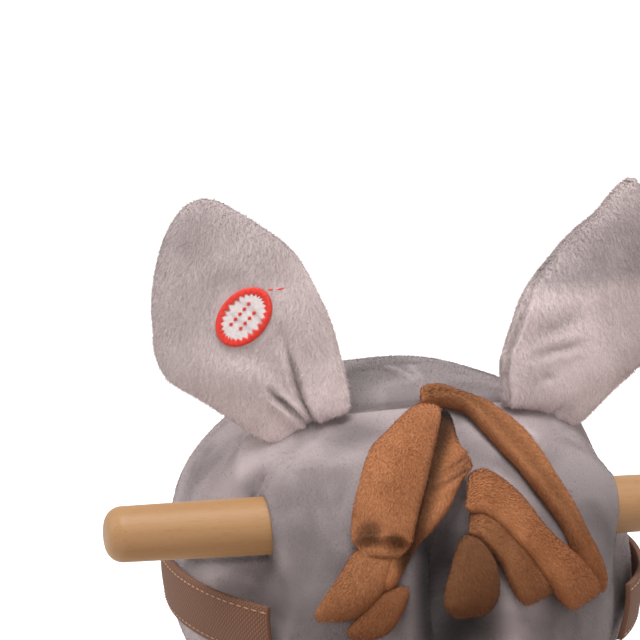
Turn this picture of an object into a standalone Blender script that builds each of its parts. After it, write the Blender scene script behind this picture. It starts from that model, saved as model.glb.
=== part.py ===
# Plush rocking animal: a stuffed long-eared animal built round a wooden frame, on two bow rockers.
# The animal faces +X, its left side is +Y and the floor is the plane Z = 0. Sizes are in metres.

import math

import bmesh
import bpy
from mathutils import Matrix, Vector

# Gap left between two pieces that touch, and between a pin and its hole.
CLEARANCE = 0.0003

# How far a helper that cuts a hole or a hollow reaches out of the piece, and how far one that cuts a
# band or a slab reaches past the piece on each side.
CUT_PAST = 0.010
CUT_BEYOND = 0.300

# Rockers: two planks cut as bows, with a raised middle that takes the boards and the footrest bar.
ROCKER_RADIUS = 0.850
ROCKER_REACH = 0.345
ROCKER_THICKNESS = 0.018
ROCKER_DEPTH = 0.050
ROCKER_SPACING = 0.242
ROCKER_MIDDLE_RISE = 0.0216
ROCKER_MIDDLE_REACH = 0.200
ROCKER_EDGE_ROUNDING = 0.003
ROCKER_FACETS = 21
FOOTREST_RISE = 0.034
FOOTREST_RISE_REACH = 0.036

# Cross boards that the hooves stand on.
BOARD_WIDTH = 0.100
BOARD_THICKNESS = 0.018
BOARD_OVERHANG = 0.006
BOARD_TOP = 0.078
BOARD_CORNER = 0.004

# Round bars between the rockers.
FOOTREST_X = -0.036
FOOTREST_HEIGHT = 0.084
FOOTREST_RADIUS = 0.011
FOOTREST_STUB = 0.003
FOOTREST_EDGE_ROUNDING = 0.002
STRETCHER_FROM_END = 0.053
STRETCHER_X = ROCKER_REACH - STRETCHER_FROM_END
STRETCHER_RADIUS = 0.011
STRETCHER_SEAT_DEPTH = 0.010

# Board bolts, with domed heads.
BOLT_RADIUS = 0.003
BOLT_HEAD_RADIUS = 0.007
BOLT_HEAD_HEIGHT = 0.004
BOLT_LENGTH = 0.046

# Dome of a bolt's or a screw's head: shares of its radius and of its height.
HEAD_DOME = ((0.0, 1.0), (0.5, 0.85), (0.9, 0.4))

# Wooden frame inside the animal.
LEG_FRONT_X = 0.098
LEG_REAR_X = -0.182
LEG_SPREAD = 0.052
POST_SIDE = 0.026
SPINE_BOTTOM = 0.215
SPINE_THICKNESS = 0.015
SPINE_WIDTH = 0.132
SPINE_END = 0.020
SPINE_NOSE_WIDTH = 0.060
NECK_POST_LENGTH = 0.045
NECK_POST_WIDTH = 0.030
NECK_POST_ABOVE_HANDLE = 0.0225

# Handle bar: one turned peg through the head.
HANDLE_X = 0.098
HANDLE_HEIGHT = 0.470
HANDLE_LENGTH = 0.294
HANDLE_RADIUS = 0.0127
HANDLE_TIP_RADIUS = 0.0120
HANDLE_TIP_ROUNDING = 0.0065
HANDLE_ROOT_REACH = 0.0507
HANDLE_SCREW_RADIUS = 0.002
HANDLE_SCREW_HEAD_RADIUS = 0.004
HANDLE_SCREW_HEAD_HEIGHT = 0.0024
HANDLE_SCREW_BELOW_AXIS = 0.008

# Stuffed body: a barrel with blunt ends.
BODY_X = -0.058
BODY_HEIGHT = 0.250
BODY_LENGTH = 0.430
BODY_WIDTH = 0.196
BODY_DEPTH = 0.190
BODY_BLUNTNESS = 3.0

# Head and muzzle: two stuffed eggs. The head's place follows the handle that runs through it.
HEAD_LENGTH = 0.252
HEAD_WIDTH = 0.2028
HEAD_DEPTH = 0.1752
HEAD_AHEAD_OF_HANDLE = 0.0658
HEAD_BELOW_HANDLE = 0.0355
MUZZLE_LENGTH = 0.126
MUZZLE_WIDTH = 0.128
MUZZLE_DEPTH = 0.108
MUZZLE_AHEAD = 0.0915
MUZZLE_BELOW = 0.040

# Neck sections from the body's middle (0) to the head's middle (1):
# share of the way up, distance ahead of the neck post, half length, half width.
NECK_SECTIONS = (
    (0.00, -0.054, 0.082, 0.072),
    (0.27, -0.040, 0.078, 0.070),
    (0.54, -0.026, 0.070, 0.066),
    (0.81, -0.008, 0.062, 0.062),
    (0.97, 0.002, 0.052, 0.055),
)

# Stuffed legs on hooves. Sections run from the hoof's top (0) to the leg's end inside the body (1).
LEG_TOP_ABOVE_SPINE = 0.020
LEG_SECTIONS = ((0.0, 0.029), (0.17, 0.030), (0.43, 0.033), (0.68, 0.036), (0.85, 0.034), (1.0, 0.024))
HOOF_HEIGHT = 0.042
HOOF_SECTIONS = ((0.0, 0.0316), (0.1, 0.0340), (0.5, 0.0325), (0.9, 0.0310), (1.0, 0.0288))

# Ears: flat stuffed leaves. Rows go up the ear: height, reach to the inner edge, reach to the
# outer edge, half thickness.
EAR_BEHIND_HEAD_MIDDLE = 0.0433
EAR_SPREAD = 0.053
EAR_LIFT = 0.0042
EAR_TURN = math.radians(24.6)
EAR_ROWS = (
    (-0.0120, 0.0110, 0.0100, 0.0090),
    (0.0000, 0.0160, 0.0330, 0.0110),
    (0.0120, 0.0170, 0.0530, 0.0120),
    (0.0280, 0.0143, 0.0670, 0.0120),
    (0.0500, 0.0082, 0.0678, 0.0120),
    (0.0700, -0.0018, 0.0650, 0.0110),
    (0.0840, -0.0160, 0.0605, 0.0085),
    (0.0930, -0.0300, 0.0530, 0.0060),
    (0.0980, -0.0400, 0.0450, 0.0030),
)

# Press badge and sound unit, in the left ear. Depths are measured from the ear's middle plane,
# towards its rear face.
BADGE_ACROSS = 0.0257
BADGE_UP = 0.0493
BADGE_LENGTH = 0.030
BADGE_WIDTH = 0.021
BADGE_THICKNESS = 0.0016
BADGE_TILT = math.radians(50)
BADGE_BACK = 0.0102
BUTTON_TRAVEL = 0.0020
BUTTON_CAP_RADIUS = 0.0065
BUTTON_CAP_THICKNESS = 0.0020
BUTTON_STEM_RADIUS = 0.0030
BUTTON_FLANGE_RADIUS = 0.0042
BUTTON_FLANGE_THICKNESS = 0.0011
UNIT_BACK = -0.0095
UNIT_RADIUS = 0.0150
UNIT_WALL = 0.0014
COVER_THICKNESS = 0.0012
CASE_DEPTH = 0.0120
SPEAKER_RADIUS = 0.0100
SPEAKER_THICKNESS = 0.0036
SPEAKER_CONE_RADIUS = 0.0080
SPEAKER_DOME_RADIUS = 0.0050
SPEAKER_CONE_DEPTH = 0.0014
SPEAKER_DOME_DEPTH = 0.0009
BOARD_UNIT_RADIUS = 0.0130
BOARD_UNIT_THICKNESS = 0.0010
CELL_RADIUS = 0.00395
CELL_THICKNESS = 0.0036
CELL_RING_RADIUS = 0.0086
CELL_EDGE = 0.0006

# Mane: plush strips sewn along the crest in pairs. Points on the head are given as the angle up
# from the back, the angle towards the left and the half width there. Angles are in degrees.
MANE_THICKNESS = 0.012
MANE_SEAT = 0.35
MANE_ON_HEAD = (
    ("mane_left_1", ((62, 1.5, 0.007), (51, 8.5, 0.0125), (37, 16.5, 0.0135), (20, 20.5, 0.0125))),
    ("mane_right_1", ((66, 2, 0.005), (61, -8, 0.006), (45, -18, 0.0085), (25, -25, 0.0095), (8, -30, 0.009))),
    ("mane_left_2", ((56, 0, 0.004), (44, 3, 0.010), (34, 10, 0.010), (23, 17, 0.009), (13, 22, 0.008))),
    ("mane_right_2", ((36.5, -0.7, 0.0085), (33, -7, 0.0095), (24.5, -13, 0.009), (9, -23, 0.0095))),
    ("mane_left_3", ((25, 20, 0.008), (17, 24, 0.010), (10, 28, 0.011), (3, 33, 0.009))),
    ("mane_right_3", ((28.5, 0.7, 0.006), (25, -4.5, 0.007), (17, -9.5, 0.0085), (7, -15, 0.0085))),
    ("mane_left_4", ((18, 14, 0.006), (12, 18, 0.009), (7, 21.5, 0.010), (3, 24, 0.009))),
    ("mane_right_4", ((24, 1.8, 0.006), (18, 1.3, 0.009), (11, 1.8, 0.0105), (5, 2.5, 0.0095))),
)
# Points on the neck: share of the way up from the body to the head, angle to the left, half width.
MANE_ON_NECK = (
    ("mane_left_5", ((0.80, 9, 0.009), (0.72, 18, 0.012), (0.62, 30, 0.013), (0.55, 42, 0.010))),
    ("mane_right_5", ((0.80, -9, 0.009), (0.72, -18, 0.012), (0.62, -30, 0.013), (0.55, -42, 0.010))),
)

# Straps: noseband, reins and girth, all cut from one webbing.
STRAP_THICKNESS = 0.0024
STRAP_WIDTH = 0.024
REIN_TOP_ABOVE_HEAD_MIDDLE = 0.006
REIN_BACK_END = -0.081
NOSEBAND_WIDTH = 0.018
NOSEBAND_AHEAD = 0.122
GIRTH_X = -0.088

# Padded saddle.
SADDLE_BEHIND_BODY_MIDDLE = 0.030
SADDLE_ABOVE_BODY_MIDDLE = 0.030
SADDLE_HALF_LENGTH = 0.140
SADDLE_HALF_WIDTH = 0.106
SADDLE_HALF_HEIGHT = 0.082
SADDLE_TRIM_HALF_LENGTH = 0.080
SADDLE_EDGE_BELOW_BODY_MIDDLE = 0.002

# Eyes on stems.
EYE_AHEAD = 0.080
EYE_SPREAD = 0.048
EYE_RADIUS = 0.0115
EYE_HEIGHT = 0.0064
EYE_STEM_RADIUS = 0.003
EYE_STEM_LENGTH = 0.014

# Tail: rows down from its pivot: distance behind, distance below, radius.
TAIL_HEIGHT = 0.285
TAIL_ROOT_RADIUS = 0.009
TAIL_SEAT_SHARE = 0.75
TAIL_ROWS = (
    (0.000, 0.000, 0.009),
    (0.018, 0.022, 0.009),
    (0.033, 0.055, 0.011),
    (0.042, 0.095, 0.014),
    (0.045, 0.130, 0.017),
    (0.046, 0.155, 0.014),
    (0.046, 0.168, 0.006),
)

# Colours.
GREY_PLUSH = (0.33, 0.28, 0.28)
EAR_PLUSH = (0.49, 0.39, 0.38)
BROWN_PLUSH = (0.33, 0.13, 0.055)
BROWN_STRAP = (0.16, 0.07, 0.04)
PALE_MUZZLE = (0.62, 0.56, 0.52)
BEECH = (0.46, 0.27, 0.13)
PINE = (0.60, 0.42, 0.24)
PLYWOOD = (0.56, 0.40, 0.25)
STEEL = (0.55, 0.55, 0.55)
BLACK_PLASTIC = (0.02, 0.02, 0.02)
WHITE_PLASTIC = (0.75, 0.75, 0.75)
BADGE_RED = (0.70, 0.03, 0.02)
BOARD_GREEN = (0.03, 0.20, 0.06)

SIDES = (("left", 1), ("right", -1))
HEAD_X = HANDLE_X + HEAD_AHEAD_OF_HANDLE
HEAD_Z = HANDLE_HEIGHT - HEAD_BELOW_HANDLE


def clear_scene():
    for item in list(bpy.data.objects):
        bpy.data.objects.remove(item, do_unlink=True)


def finish(obj, colour, roughness, metallic=0.0):
    """Gives the object its own plain material."""
    material = bpy.data.materials.new(obj.name)
    material.use_nodes = True
    shader = material.node_tree.nodes["Principled BSDF"]
    shader.inputs["Base Color"].default_value = (*colour, 1.0)
    shader.inputs["Roughness"].default_value = roughness
    shader.inputs["Metallic"].default_value = metallic
    material.diffuse_color = (*colour, 1.0)
    obj.data.materials.append(material)


def add_object(name, bm, origin=(0, 0, 0), smooth_below=40):
    """Makes an object of the mesh, with its own origin, and closes the bmesh."""
    bmesh.ops.translate(bm, verts=bm.verts, vec=-Vector(origin))
    bmesh.ops.recalc_face_normals(bm, faces=bm.faces)
    mesh = bpy.data.meshes.new(name)
    bm.to_mesh(mesh)
    bm.free()
    mesh.shade_smooth()
    mesh.set_sharp_from_angle(angle=math.radians(smooth_below))
    obj = bpy.data.objects.new(name, mesh)
    obj.location = origin
    bpy.context.scene.collection.objects.link(obj)
    return obj


def add_cutter(name, bm):
    """A hidden helper that other objects are cut by."""
    obj = add_object(name, bm)
    obj.hide_render = True
    obj.display_type = "WIRE"
    return obj


def boolean(obj, other, operation):
    step = obj.modifiers.new(f"{operation.lower()} {other.name}", "BOOLEAN")
    step.operation = operation
    step.solver = "EXACT"
    step.object = other


def cut(obj, *cutters):
    for cutter in cutters:
        boolean(obj, cutter, "DIFFERENCE")


def round_edges(obj, width, segments=2):
    step = obj.modifiers.new("rounded edges", "BEVEL")
    step.width = width
    step.segments = segments
    step.limit_method = "ANGLE"
    step.angle_limit = math.radians(40)


def box(low, high):
    bm = bmesh.new()
    bmesh.ops.create_cube(bm, size=1)
    size = Vector(high) - Vector(low)
    middle = (Vector(high) + Vector(low)) / 2
    bmesh.ops.scale(bm, verts=bm.verts, vec=size)
    bmesh.ops.translate(bm, verts=bm.verts, vec=middle)
    return bm


def grown_box(low, high, grow):
    return box(Vector(low) - Vector((grow, grow, grow)), Vector(high) + Vector((grow, grow, grow)))


def prism(outline, low, high):
    """Stands a flat outline in XY up from low to high."""
    bm = bmesh.new()
    face = bm.faces.new([bm.verts.new((x, y, low)) for x, y in outline])
    pulled = bmesh.ops.extrude_face_region(bm, geom=[face])
    raised = [item for item in pulled["geom"] if isinstance(item, bmesh.types.BMVert)]
    bmesh.ops.translate(bm, verts=raised, vec=(0, 0, high - low))
    return bm


def turned(profile, segments=24):
    """Turns (radius, height) points about Z. The profile starts and ends on the axis."""
    bm = bmesh.new()
    points = [bm.verts.new((radius, 0, height)) for radius, height in profile]
    edges = [bm.edges.new(pair) for pair in zip(points, points[1:])]
    bmesh.ops.spin(
        bm, geom=points + edges, axis=(0, 0, 1), cent=(0, 0, 0),
        angle=math.tau, steps=segments, use_merge=True,
    )
    bmesh.ops.remove_doubles(bm, verts=bm.verts, dist=1e-6)
    return bm


def rod(radius, low, high, segments=24):
    return turned(((0, high), (radius, high), (radius, low), (0, low)), segments)


def placed(bm, matrix):
    bmesh.ops.transform(bm, matrix=matrix, verts=bm.verts)
    return bm


def facing(point, direction):
    """A placing that turns +Z to the direction, at the point."""
    turn = Vector(direction).to_track_quat("Z", "Y").to_matrix().to_4x4()
    return Matrix.Translation(point) @ turn


ALONG_Y = Matrix.Rotation(math.radians(-90), 4, "X")


def loft(rings):
    """Skins rings of points that all have the same count, and closes both ends."""
    bm = bmesh.new()
    loops = [[bm.verts.new(point) for point in ring] for ring in rings]
    for low, high in zip(loops, loops[1:]):
        for i in range(len(low)):
            bm.faces.new((low[i - 1], low[i], high[i], high[i - 1]))
    bm.faces.new(loops[0])
    bm.faces.new(loops[-1])
    return bm


def oval(middle, across, up, count):
    """A ring of points about middle, with half axes across and up."""
    angles = [math.tau * i / count for i in range(count)]
    return [middle + across * math.cos(angle) + up * math.sin(angle) for angle in angles]


def smooth_rows(rows, per_gap):
    """Catmull-Rom values through rows of numbers, with per_gap steps between two rows."""
    rows = [Vector(row) for row in rows]
    padded = [2 * rows[0] - rows[1], *rows, 2 * rows[-1] - rows[-2]]
    found = []
    for a, b, c, d in zip(padded, padded[1:], padded[2:], padded[3:]):
        for step in range(per_gap):
            t = step / per_gap
            found.append(
                0.5 * (2 * b + (c - a) * t + (2 * a - 5 * b + 4 * c - d) * t**2
                       + (3 * b - a - 3 * c + d) * t**3)
            )
    return [*found, rows[-1]]


def egg(middle, length, width, depth, grow=0.0, segments=28, rings=16):
    bm = bmesh.new()
    bmesh.ops.create_uvsphere(bm, u_segments=segments, v_segments=rings, radius=1)
    half = Vector((length / 2 + grow, width / 2 + grow, depth / 2 + grow))
    bmesh.ops.scale(bm, verts=bm.verts, vec=half)
    bmesh.ops.translate(bm, verts=bm.verts, vec=middle)
    return bm


def head_form(grow=0.0):
    return egg((HEAD_X, 0, HEAD_Z), HEAD_LENGTH, HEAD_WIDTH, HEAD_DEPTH, grow)


def muzzle_form(grow=0.0):
    middle = (HEAD_X + MUZZLE_AHEAD, 0, HEAD_Z - MUZZLE_BELOW)
    return egg(middle, MUZZLE_LENGTH, MUZZLE_WIDTH, MUZZLE_DEPTH, grow, 24, 14)


def body_swell(share):
    """The barrel's girth at a share of its half length, from 1 in the middle to 0 at the end."""
    return (1 - abs(share) ** BODY_BLUNTNESS) ** (1 / BODY_BLUNTNESS)


def body_form(grow=0.0, steps=16):
    rings = []
    for i in range(steps + 1):
        share = math.sin(math.radians(88) * (2 * i / steps - 1))
        middle = Vector((BODY_X + (BODY_LENGTH / 2 + grow) * share, 0, BODY_HEIGHT))
        across = Vector((0, (BODY_WIDTH / 2 + grow) * body_swell(share), 0))
        up = Vector((0, 0, (BODY_DEPTH / 2 + grow) * body_swell(share)))
        rings.append(oval(middle, across, up, 28))
    return loft(rings)


def neck_section(share):
    """Middle, half length and half width of the neck at a share of the way up."""
    rows = [Vector(row) for row in NECK_SECTIONS]
    for low, high in zip(rows, rows[1:]):
        if share <= high[0] or high is rows[-1]:
            row = low.lerp(high, (share - low[0]) / (high[0] - low[0]))
            break
    middle = Vector((HANDLE_X + row[1], 0, BODY_HEIGHT + row[0] * (HEAD_Z - BODY_HEIGHT)))
    return middle, row[2], row[3]


def neck_form(grow=0.0):
    rings = []
    for share, *_ in smooth_rows(NECK_SECTIONS, 2):
        middle, half_length, half_width = neck_section(share)
        rings.append(oval(middle, Vector((half_length + grow, 0, 0)), Vector((0, half_width + grow, 0)), 24))
    return loft(rings)


def on_head(up_degrees, left_degrees, grow):
    """Point and outward direction on the head, by angles from the middle of its back."""
    up = math.radians(up_degrees)
    left = math.radians(left_degrees)
    unit = Vector((-math.cos(left) * math.cos(up), math.sin(left), math.cos(left) * math.sin(up)))
    half = Vector((HEAD_LENGTH / 2 + grow, HEAD_WIDTH / 2 + grow, HEAD_DEPTH / 2 + grow))
    point = Vector((HEAD_X, 0, HEAD_Z)) + unit * half
    outward = Vector((unit.x / half.x, unit.y / half.y, unit.z / half.z)).normalized()
    return point, outward


def on_neck(share, left_degrees, grow):
    middle, half_length, half_width = neck_section(share)
    left = math.radians(left_degrees)
    outward = Vector((-math.cos(left) / half_length, math.sin(left) / half_width, 0)).normalized()
    reach = Vector((-math.cos(left) * (half_length + grow), math.sin(left) * (half_width + grow), 0))
    return middle + reach, outward


def head_height(ahead, spread):
    """Height of the head's upper surface at a place seen from above."""
    rest = 1 - (ahead / (HEAD_LENGTH / 2)) ** 2 - (spread / (HEAD_WIDTH / 2)) ** 2
    return HEAD_Z + HEAD_DEPTH / 2 * math.sqrt(rest)


def strip_form(points, surface, grow=0.0):
    """A flattened stuffed strip that lies along a row of points on a surface."""
    rows = smooth_rows(points, 2)
    places = [surface(row[0], row[1], MANE_THICKNESS * MANE_SEAT) for row in rows]
    rings = []
    for i, (row, (point, outward)) in enumerate(zip(rows, places)):
        before = places[max(i - 1, 0)][0]
        after = places[min(i + 1, len(places) - 1)][0]
        along = (after - before).normalized()
        side = outward.cross(along).normalized()
        share = abs(2 * i / (len(rows) - 1) - 1)
        end = max(0.45, math.sqrt(1 - share**6))
        across = side * (row[2] * end + grow)
        up = outward * (MANE_THICKNESS / 2 * end + grow)
        shift = along * grow * (-1 if i == 0 else 1 if i == len(rows) - 1 else 0)
        rings.append(oval(point + shift, across, up, 10))
    return loft(rings)


def rocker_outline():
    """Outline in X and Z: the faceted bow below, round ends, and the shaped upper edge."""
    end = ROCKER_DEPTH / 2
    end_angle = math.asin((ROCKER_REACH - end) / (ROCKER_RADIUS - end))
    lift = ROCKER_RADIUS * (1 - math.cos(end_angle / ROCKER_FACETS))

    def at(angle, depth):
        away = ROCKER_RADIUS - depth
        return away * math.sin(angle), ROCKER_RADIUS - away * math.cos(angle) - lift

    def depth_at(x):
        middle = ROCKER_MIDDLE_RISE * math.exp(-((x / ROCKER_MIDDLE_REACH) ** 4))
        footrest = FOOTREST_RISE * math.exp(-(((x - FOOTREST_X) / FOOTREST_RISE_REACH) ** 2))
        return ROCKER_DEPTH + middle + footrest

    angles = [end_angle * (2 * i / ROCKER_FACETS - 1) for i in range(ROCKER_FACETS + 1)]
    below = [at(angle, 0) for angle in angles]
    count = 2 * ROCKER_FACETS
    angles = [end_angle * (1 - 2 * i / count) for i in range(count + 1)]
    above = [at(angle, depth_at(ROCKER_RADIUS * math.sin(angle))) for angle in angles]
    centre_x, centre_z = at(end_angle, end)
    turns = [end_angle - math.pi / 2 + math.pi * i / 8 for i in range(1, 8)]
    front = [(centre_x + end * math.cos(turn), centre_z + end * math.sin(turn)) for turn in turns]
    rear = [(-x, z) for x, z in reversed(front)]
    return below + front + above + rear


def rocker_middle_height(x):
    """Height of the middle of the plank's bow at X, where the end bars sit."""
    return ROCKER_RADIUS - math.sqrt(ROCKER_RADIUS**2 - x**2) + ROCKER_DEPTH / 2


def make_rockers(footrest_hole, bar_holes, board_notches, bolt_holes):
    for name, side in SIDES:
        middle = side * ROCKER_SPACING / 2
        upright = Matrix.Rotation(math.radians(90), 4, "X")
        plank = prism(rocker_outline(), -ROCKER_THICKNESS / 2, ROCKER_THICKNESS / 2)
        placed(plank, Matrix.Translation((0, middle, 0)) @ upright)
        rocker = add_object(f"rocker_{name}", plank)
        round_edges(rocker, ROCKER_EDGE_ROUNDING)
        cut(rocker, footrest_hole, *bar_holes, *board_notches, *bolt_holes)
        finish(rocker, BEECH, 0.45)


def head_dome(radius, height):
    return [(radius * across, height * up) for across, up in HEAD_DOME]


def board_corners(x, grow=0.0):
    reach = ROCKER_SPACING / 2 + ROCKER_THICKNESS / 2 + BOARD_OVERHANG
    low = (x - BOARD_WIDTH / 2 - grow, -reach - grow, BOARD_TOP - BOARD_THICKNESS - grow)
    high = (x + BOARD_WIDTH / 2 + grow, reach + grow, BOARD_TOP)
    return low, high


def make_base():
    """Rockers, cross boards, bars and board bolts."""
    places = (("front", LEG_FRONT_X), ("rear", LEG_REAR_X))
    bar_reach = ROCKER_SPACING / 2 + ROCKER_THICKNESS / 2 + FOOTREST_STUB
    footrest = Matrix.Translation((FOOTREST_X, 0, FOOTREST_HEIGHT)) @ ALONG_Y
    hole = placed(rod(FOOTREST_RADIUS + CLEARANCE, -2 * bar_reach, 2 * bar_reach), footrest)
    footrest_hole = add_cutter("cutter_footrest", hole)
    bar = add_object("footrest_bar", placed(rod(FOOTREST_RADIUS, -bar_reach, bar_reach), footrest))
    round_edges(bar, FOOTREST_EDGE_ROUNDING)
    finish(bar, BEECH, 0.45)

    inner_face = ROCKER_SPACING / 2 - ROCKER_THICKNESS / 2
    bar_holes = []
    for name, x in (("front", STRETCHER_X), ("rear", -STRETCHER_X)):
        place = Matrix.Translation((x, 0, rocker_middle_height(x))) @ ALONG_Y
        reach = inner_face + STRETCHER_SEAT_DEPTH
        hole = placed(rod(STRETCHER_RADIUS + CLEARANCE, -reach, reach), place)
        bar_holes.append(add_cutter(f"cutter_stretcher_{name}", hole))
        reach -= CLEARANCE
        stretcher = add_object(f"stretcher_{name}", placed(rod(STRETCHER_RADIUS, -reach, reach), place))
        finish(stretcher, BEECH, 0.45)

    notches = []
    bolt_holes = []
    boards = []
    for name, x in places:
        low, high = board_corners(x, CLEARANCE)
        notch = box(low, (high[0], high[1], high[2] + ROCKER_DEPTH))
        notches.append(add_cutter(f"cutter_board_{name}", notch))
        board = add_object(f"cross_board_{name}", box(*board_corners(x)))
        round_edges(board, BOARD_CORNER)
        finish(board, BEECH, 0.45)
        boards.append(board)
        for side_name, side in SIDES:
            place = Matrix.Translation((x, side * ROCKER_SPACING / 2, BOARD_TOP))
            hole = placed(rod(BOLT_RADIUS + CLEARANCE, -BOLT_LENGTH - CLEARANCE, CUT_PAST, 16), place)
            bolt_holes.append(add_cutter(f"cutter_bolt_{name}_{side_name}", hole))
            profile = (
                *head_dome(BOLT_HEAD_RADIUS, BOLT_HEAD_HEIGHT),
                (BOLT_HEAD_RADIUS, CLEARANCE),
                (BOLT_RADIUS, CLEARANCE),
                (BOLT_RADIUS, -BOLT_LENGTH),
                (0, -BOLT_LENGTH),
            )
            bolt = add_object(f"board_bolt_{name}_{side_name}", placed(turned(profile, 16), place))
            finish(bolt, STEEL, 0.35, 1.0)
    for board in boards:
        cut(board, *bolt_holes)
    make_rockers(footrest_hole, bar_holes, notches, bolt_holes)


def post_corners(x, side):
    low = (x - POST_SIDE / 2, side * LEG_SPREAD - POST_SIDE / 2, BOARD_TOP + CLEARANCE)
    high = (x + POST_SIDE / 2, side * LEG_SPREAD + POST_SIDE / 2, SPINE_BOTTOM - CLEARANCE)
    return low, high


def spine_outline(grow=0.0):
    """The spine board from above, with its front corners cut off."""
    rear = LEG_REAR_X - SPINE_END - grow
    front = HANDLE_X + NECK_POST_LENGTH / 2 + CLEARANCE + grow
    half = SPINE_WIDTH / 2 + grow
    nose = SPINE_NOSE_WIDTH / 2 + grow
    shoulder = LEG_FRONT_X + POST_SIDE / 2
    return ((rear, -half), (shoulder, -half), (front, -nose), (front, nose), (shoulder, half), (rear, half))


def neck_post_corners():
    low = (
        HANDLE_X - NECK_POST_LENGTH / 2,
        -NECK_POST_WIDTH / 2,
        SPINE_BOTTOM + SPINE_THICKNESS + CLEARANCE,
    )
    high = (HANDLE_X + NECK_POST_LENGTH / 2, NECK_POST_WIDTH / 2, HANDLE_HEIGHT + NECK_POST_ABOVE_HANDLE)
    return low, high


def handle_profile(grow=0.0):
    """From one round tip to the other. The peg is fullest where it enters the head."""
    half = HANDLE_LENGTH / 2
    tip = []
    for i in range(5):
        turn = math.radians(22.5 * i)
        radius = HANDLE_TIP_RADIUS - HANDLE_TIP_ROUNDING * (1 - math.sin(turn)) + grow
        tip.append((radius, half - HANDLE_TIP_ROUNDING * (1 - math.cos(turn))))
    root = (HANDLE_RADIUS + grow, HANDLE_ROOT_REACH)
    upper = [(0, half), *tip, root]
    return upper + [(radius, -height) for radius, height in reversed(upper)]


def make_frame():
    """The wooden frame inside the animal, the handle and its screw. Gives back the cutters."""
    cutters = {}
    for end, x in (("front", LEG_FRONT_X), ("rear", LEG_REAR_X)):
        for name, side in SIDES:
            low, high = post_corners(x, side)
            post = add_object(f"leg_post_{end}_{name}", box(low, high))
            finish(post, PINE, 0.6)
            room = grown_box((low[0], low[1], 0), (high[0], high[1], SPINE_BOTTOM), CLEARANCE)
            cutters[f"{end}_{name}"] = add_cutter(f"cutter_post_{end}_{name}", room)

    top = SPINE_BOTTOM + SPINE_THICKNESS
    spine = add_object("spine_board", prism(spine_outline(), SPINE_BOTTOM, top))
    finish(spine, PLYWOOD, 0.6)
    room = prism(spine_outline(CLEARANCE), SPINE_BOTTOM - CLEARANCE, top + CLEARANCE)
    cutters["spine"] = add_cutter("cutter_spine", room)

    low, high = neck_post_corners()
    post = add_object("neck_post", box(low, high))
    finish(post, PINE, 0.6)
    cutters["neck_post"] = add_cutter("cutter_neck_post", grown_box(low, high, CLEARANCE))

    across = Matrix.Translation((HANDLE_X, 0, HANDLE_HEIGHT)) @ ALONG_Y
    handle = add_object("handle_bar", placed(turned(handle_profile(), 28), across))
    finish(handle, BEECH, 0.4)
    hole = rod(HANDLE_RADIUS + CLEARANCE, -HANDLE_LENGTH, HANDLE_LENGTH, 28)
    cutters["handle"] = add_cutter("cutter_handle", placed(hole, across))

    upright = Matrix.Translation((HANDLE_X, 0, high[2]))
    depth = NECK_POST_ABOVE_HANDLE + HANDLE_SCREW_BELOW_AXIS
    head = HANDLE_SCREW_HEAD_RADIUS
    profile = (
        *head_dome(head, HANDLE_SCREW_HEAD_HEIGHT),
        (head, CLEARANCE),
        (HANDLE_SCREW_RADIUS, CLEARANCE),
        (HANDLE_SCREW_RADIUS, -depth + HANDLE_SCREW_RADIUS),
        (0, -depth),
    )
    screw = add_object("handle_screw", placed(turned(profile, 16), upright))
    finish(screw, STEEL, 0.35, 1.0)
    hole = placed(rod(HANDLE_SCREW_RADIUS + CLEARANCE, -depth - CLEARANCE, CUT_PAST, 16), upright)
    screw_hole = add_cutter("cutter_screw", hole)
    room = rod(head + CLEARANCE, -CLEARANCE, HANDLE_SCREW_HEAD_HEIGHT + CLEARANCE, 16)
    cutters["screw_head"] = add_cutter("cutter_screw_head", placed(room, upright))
    cut(handle, screw_hole)
    cut(post, cutters["handle"], screw_hole)
    return cutters


def tail_pivot():
    """Just behind the rump, so that the tail's round root sits in a shallow socket."""
    girth = (TAIL_HEIGHT - BODY_HEIGHT) / (BODY_DEPTH / 2)
    share = (1 - girth**BODY_BLUNTNESS) ** (1 / BODY_BLUNTNESS)
    rear = BODY_X - BODY_LENGTH / 2 * share
    return Vector((rear - TAIL_ROOT_RADIUS * TAIL_SEAT_SHARE, 0, TAIL_HEIGHT))


def make_tail():
    pivot = tail_pivot()
    rows = smooth_rows(TAIL_ROWS, 2)
    rings = []
    cap = (75, 50, 25)
    for degrees in cap:
        angle = math.radians(degrees)
        radius = TAIL_ROOT_RADIUS * math.cos(angle)
        middle = pivot + Vector((0, 0, TAIL_ROOT_RADIUS * math.sin(angle)))
        rings.append(oval(middle, Vector((radius, 0, 0)), Vector((0, radius, 0)), 16))
    for row in rows:
        middle = pivot + Vector((-row[0], 0, -row[1]))
        rings.append(oval(middle, Vector((row[2], 0, 0)), Vector((0, row[2], 0)), 16))
    tail = add_object("tail", loft(rings), origin=pivot)
    finish(tail, BROWN_PLUSH, 0.9)
    socket = placed(egg((0, 0, 0), *(2 * TAIL_ROOT_RADIUS,) * 3, CLEARANCE, 16, 10), Matrix.Translation(pivot))
    return add_cutter("cutter_tail_root", socket)


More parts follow.
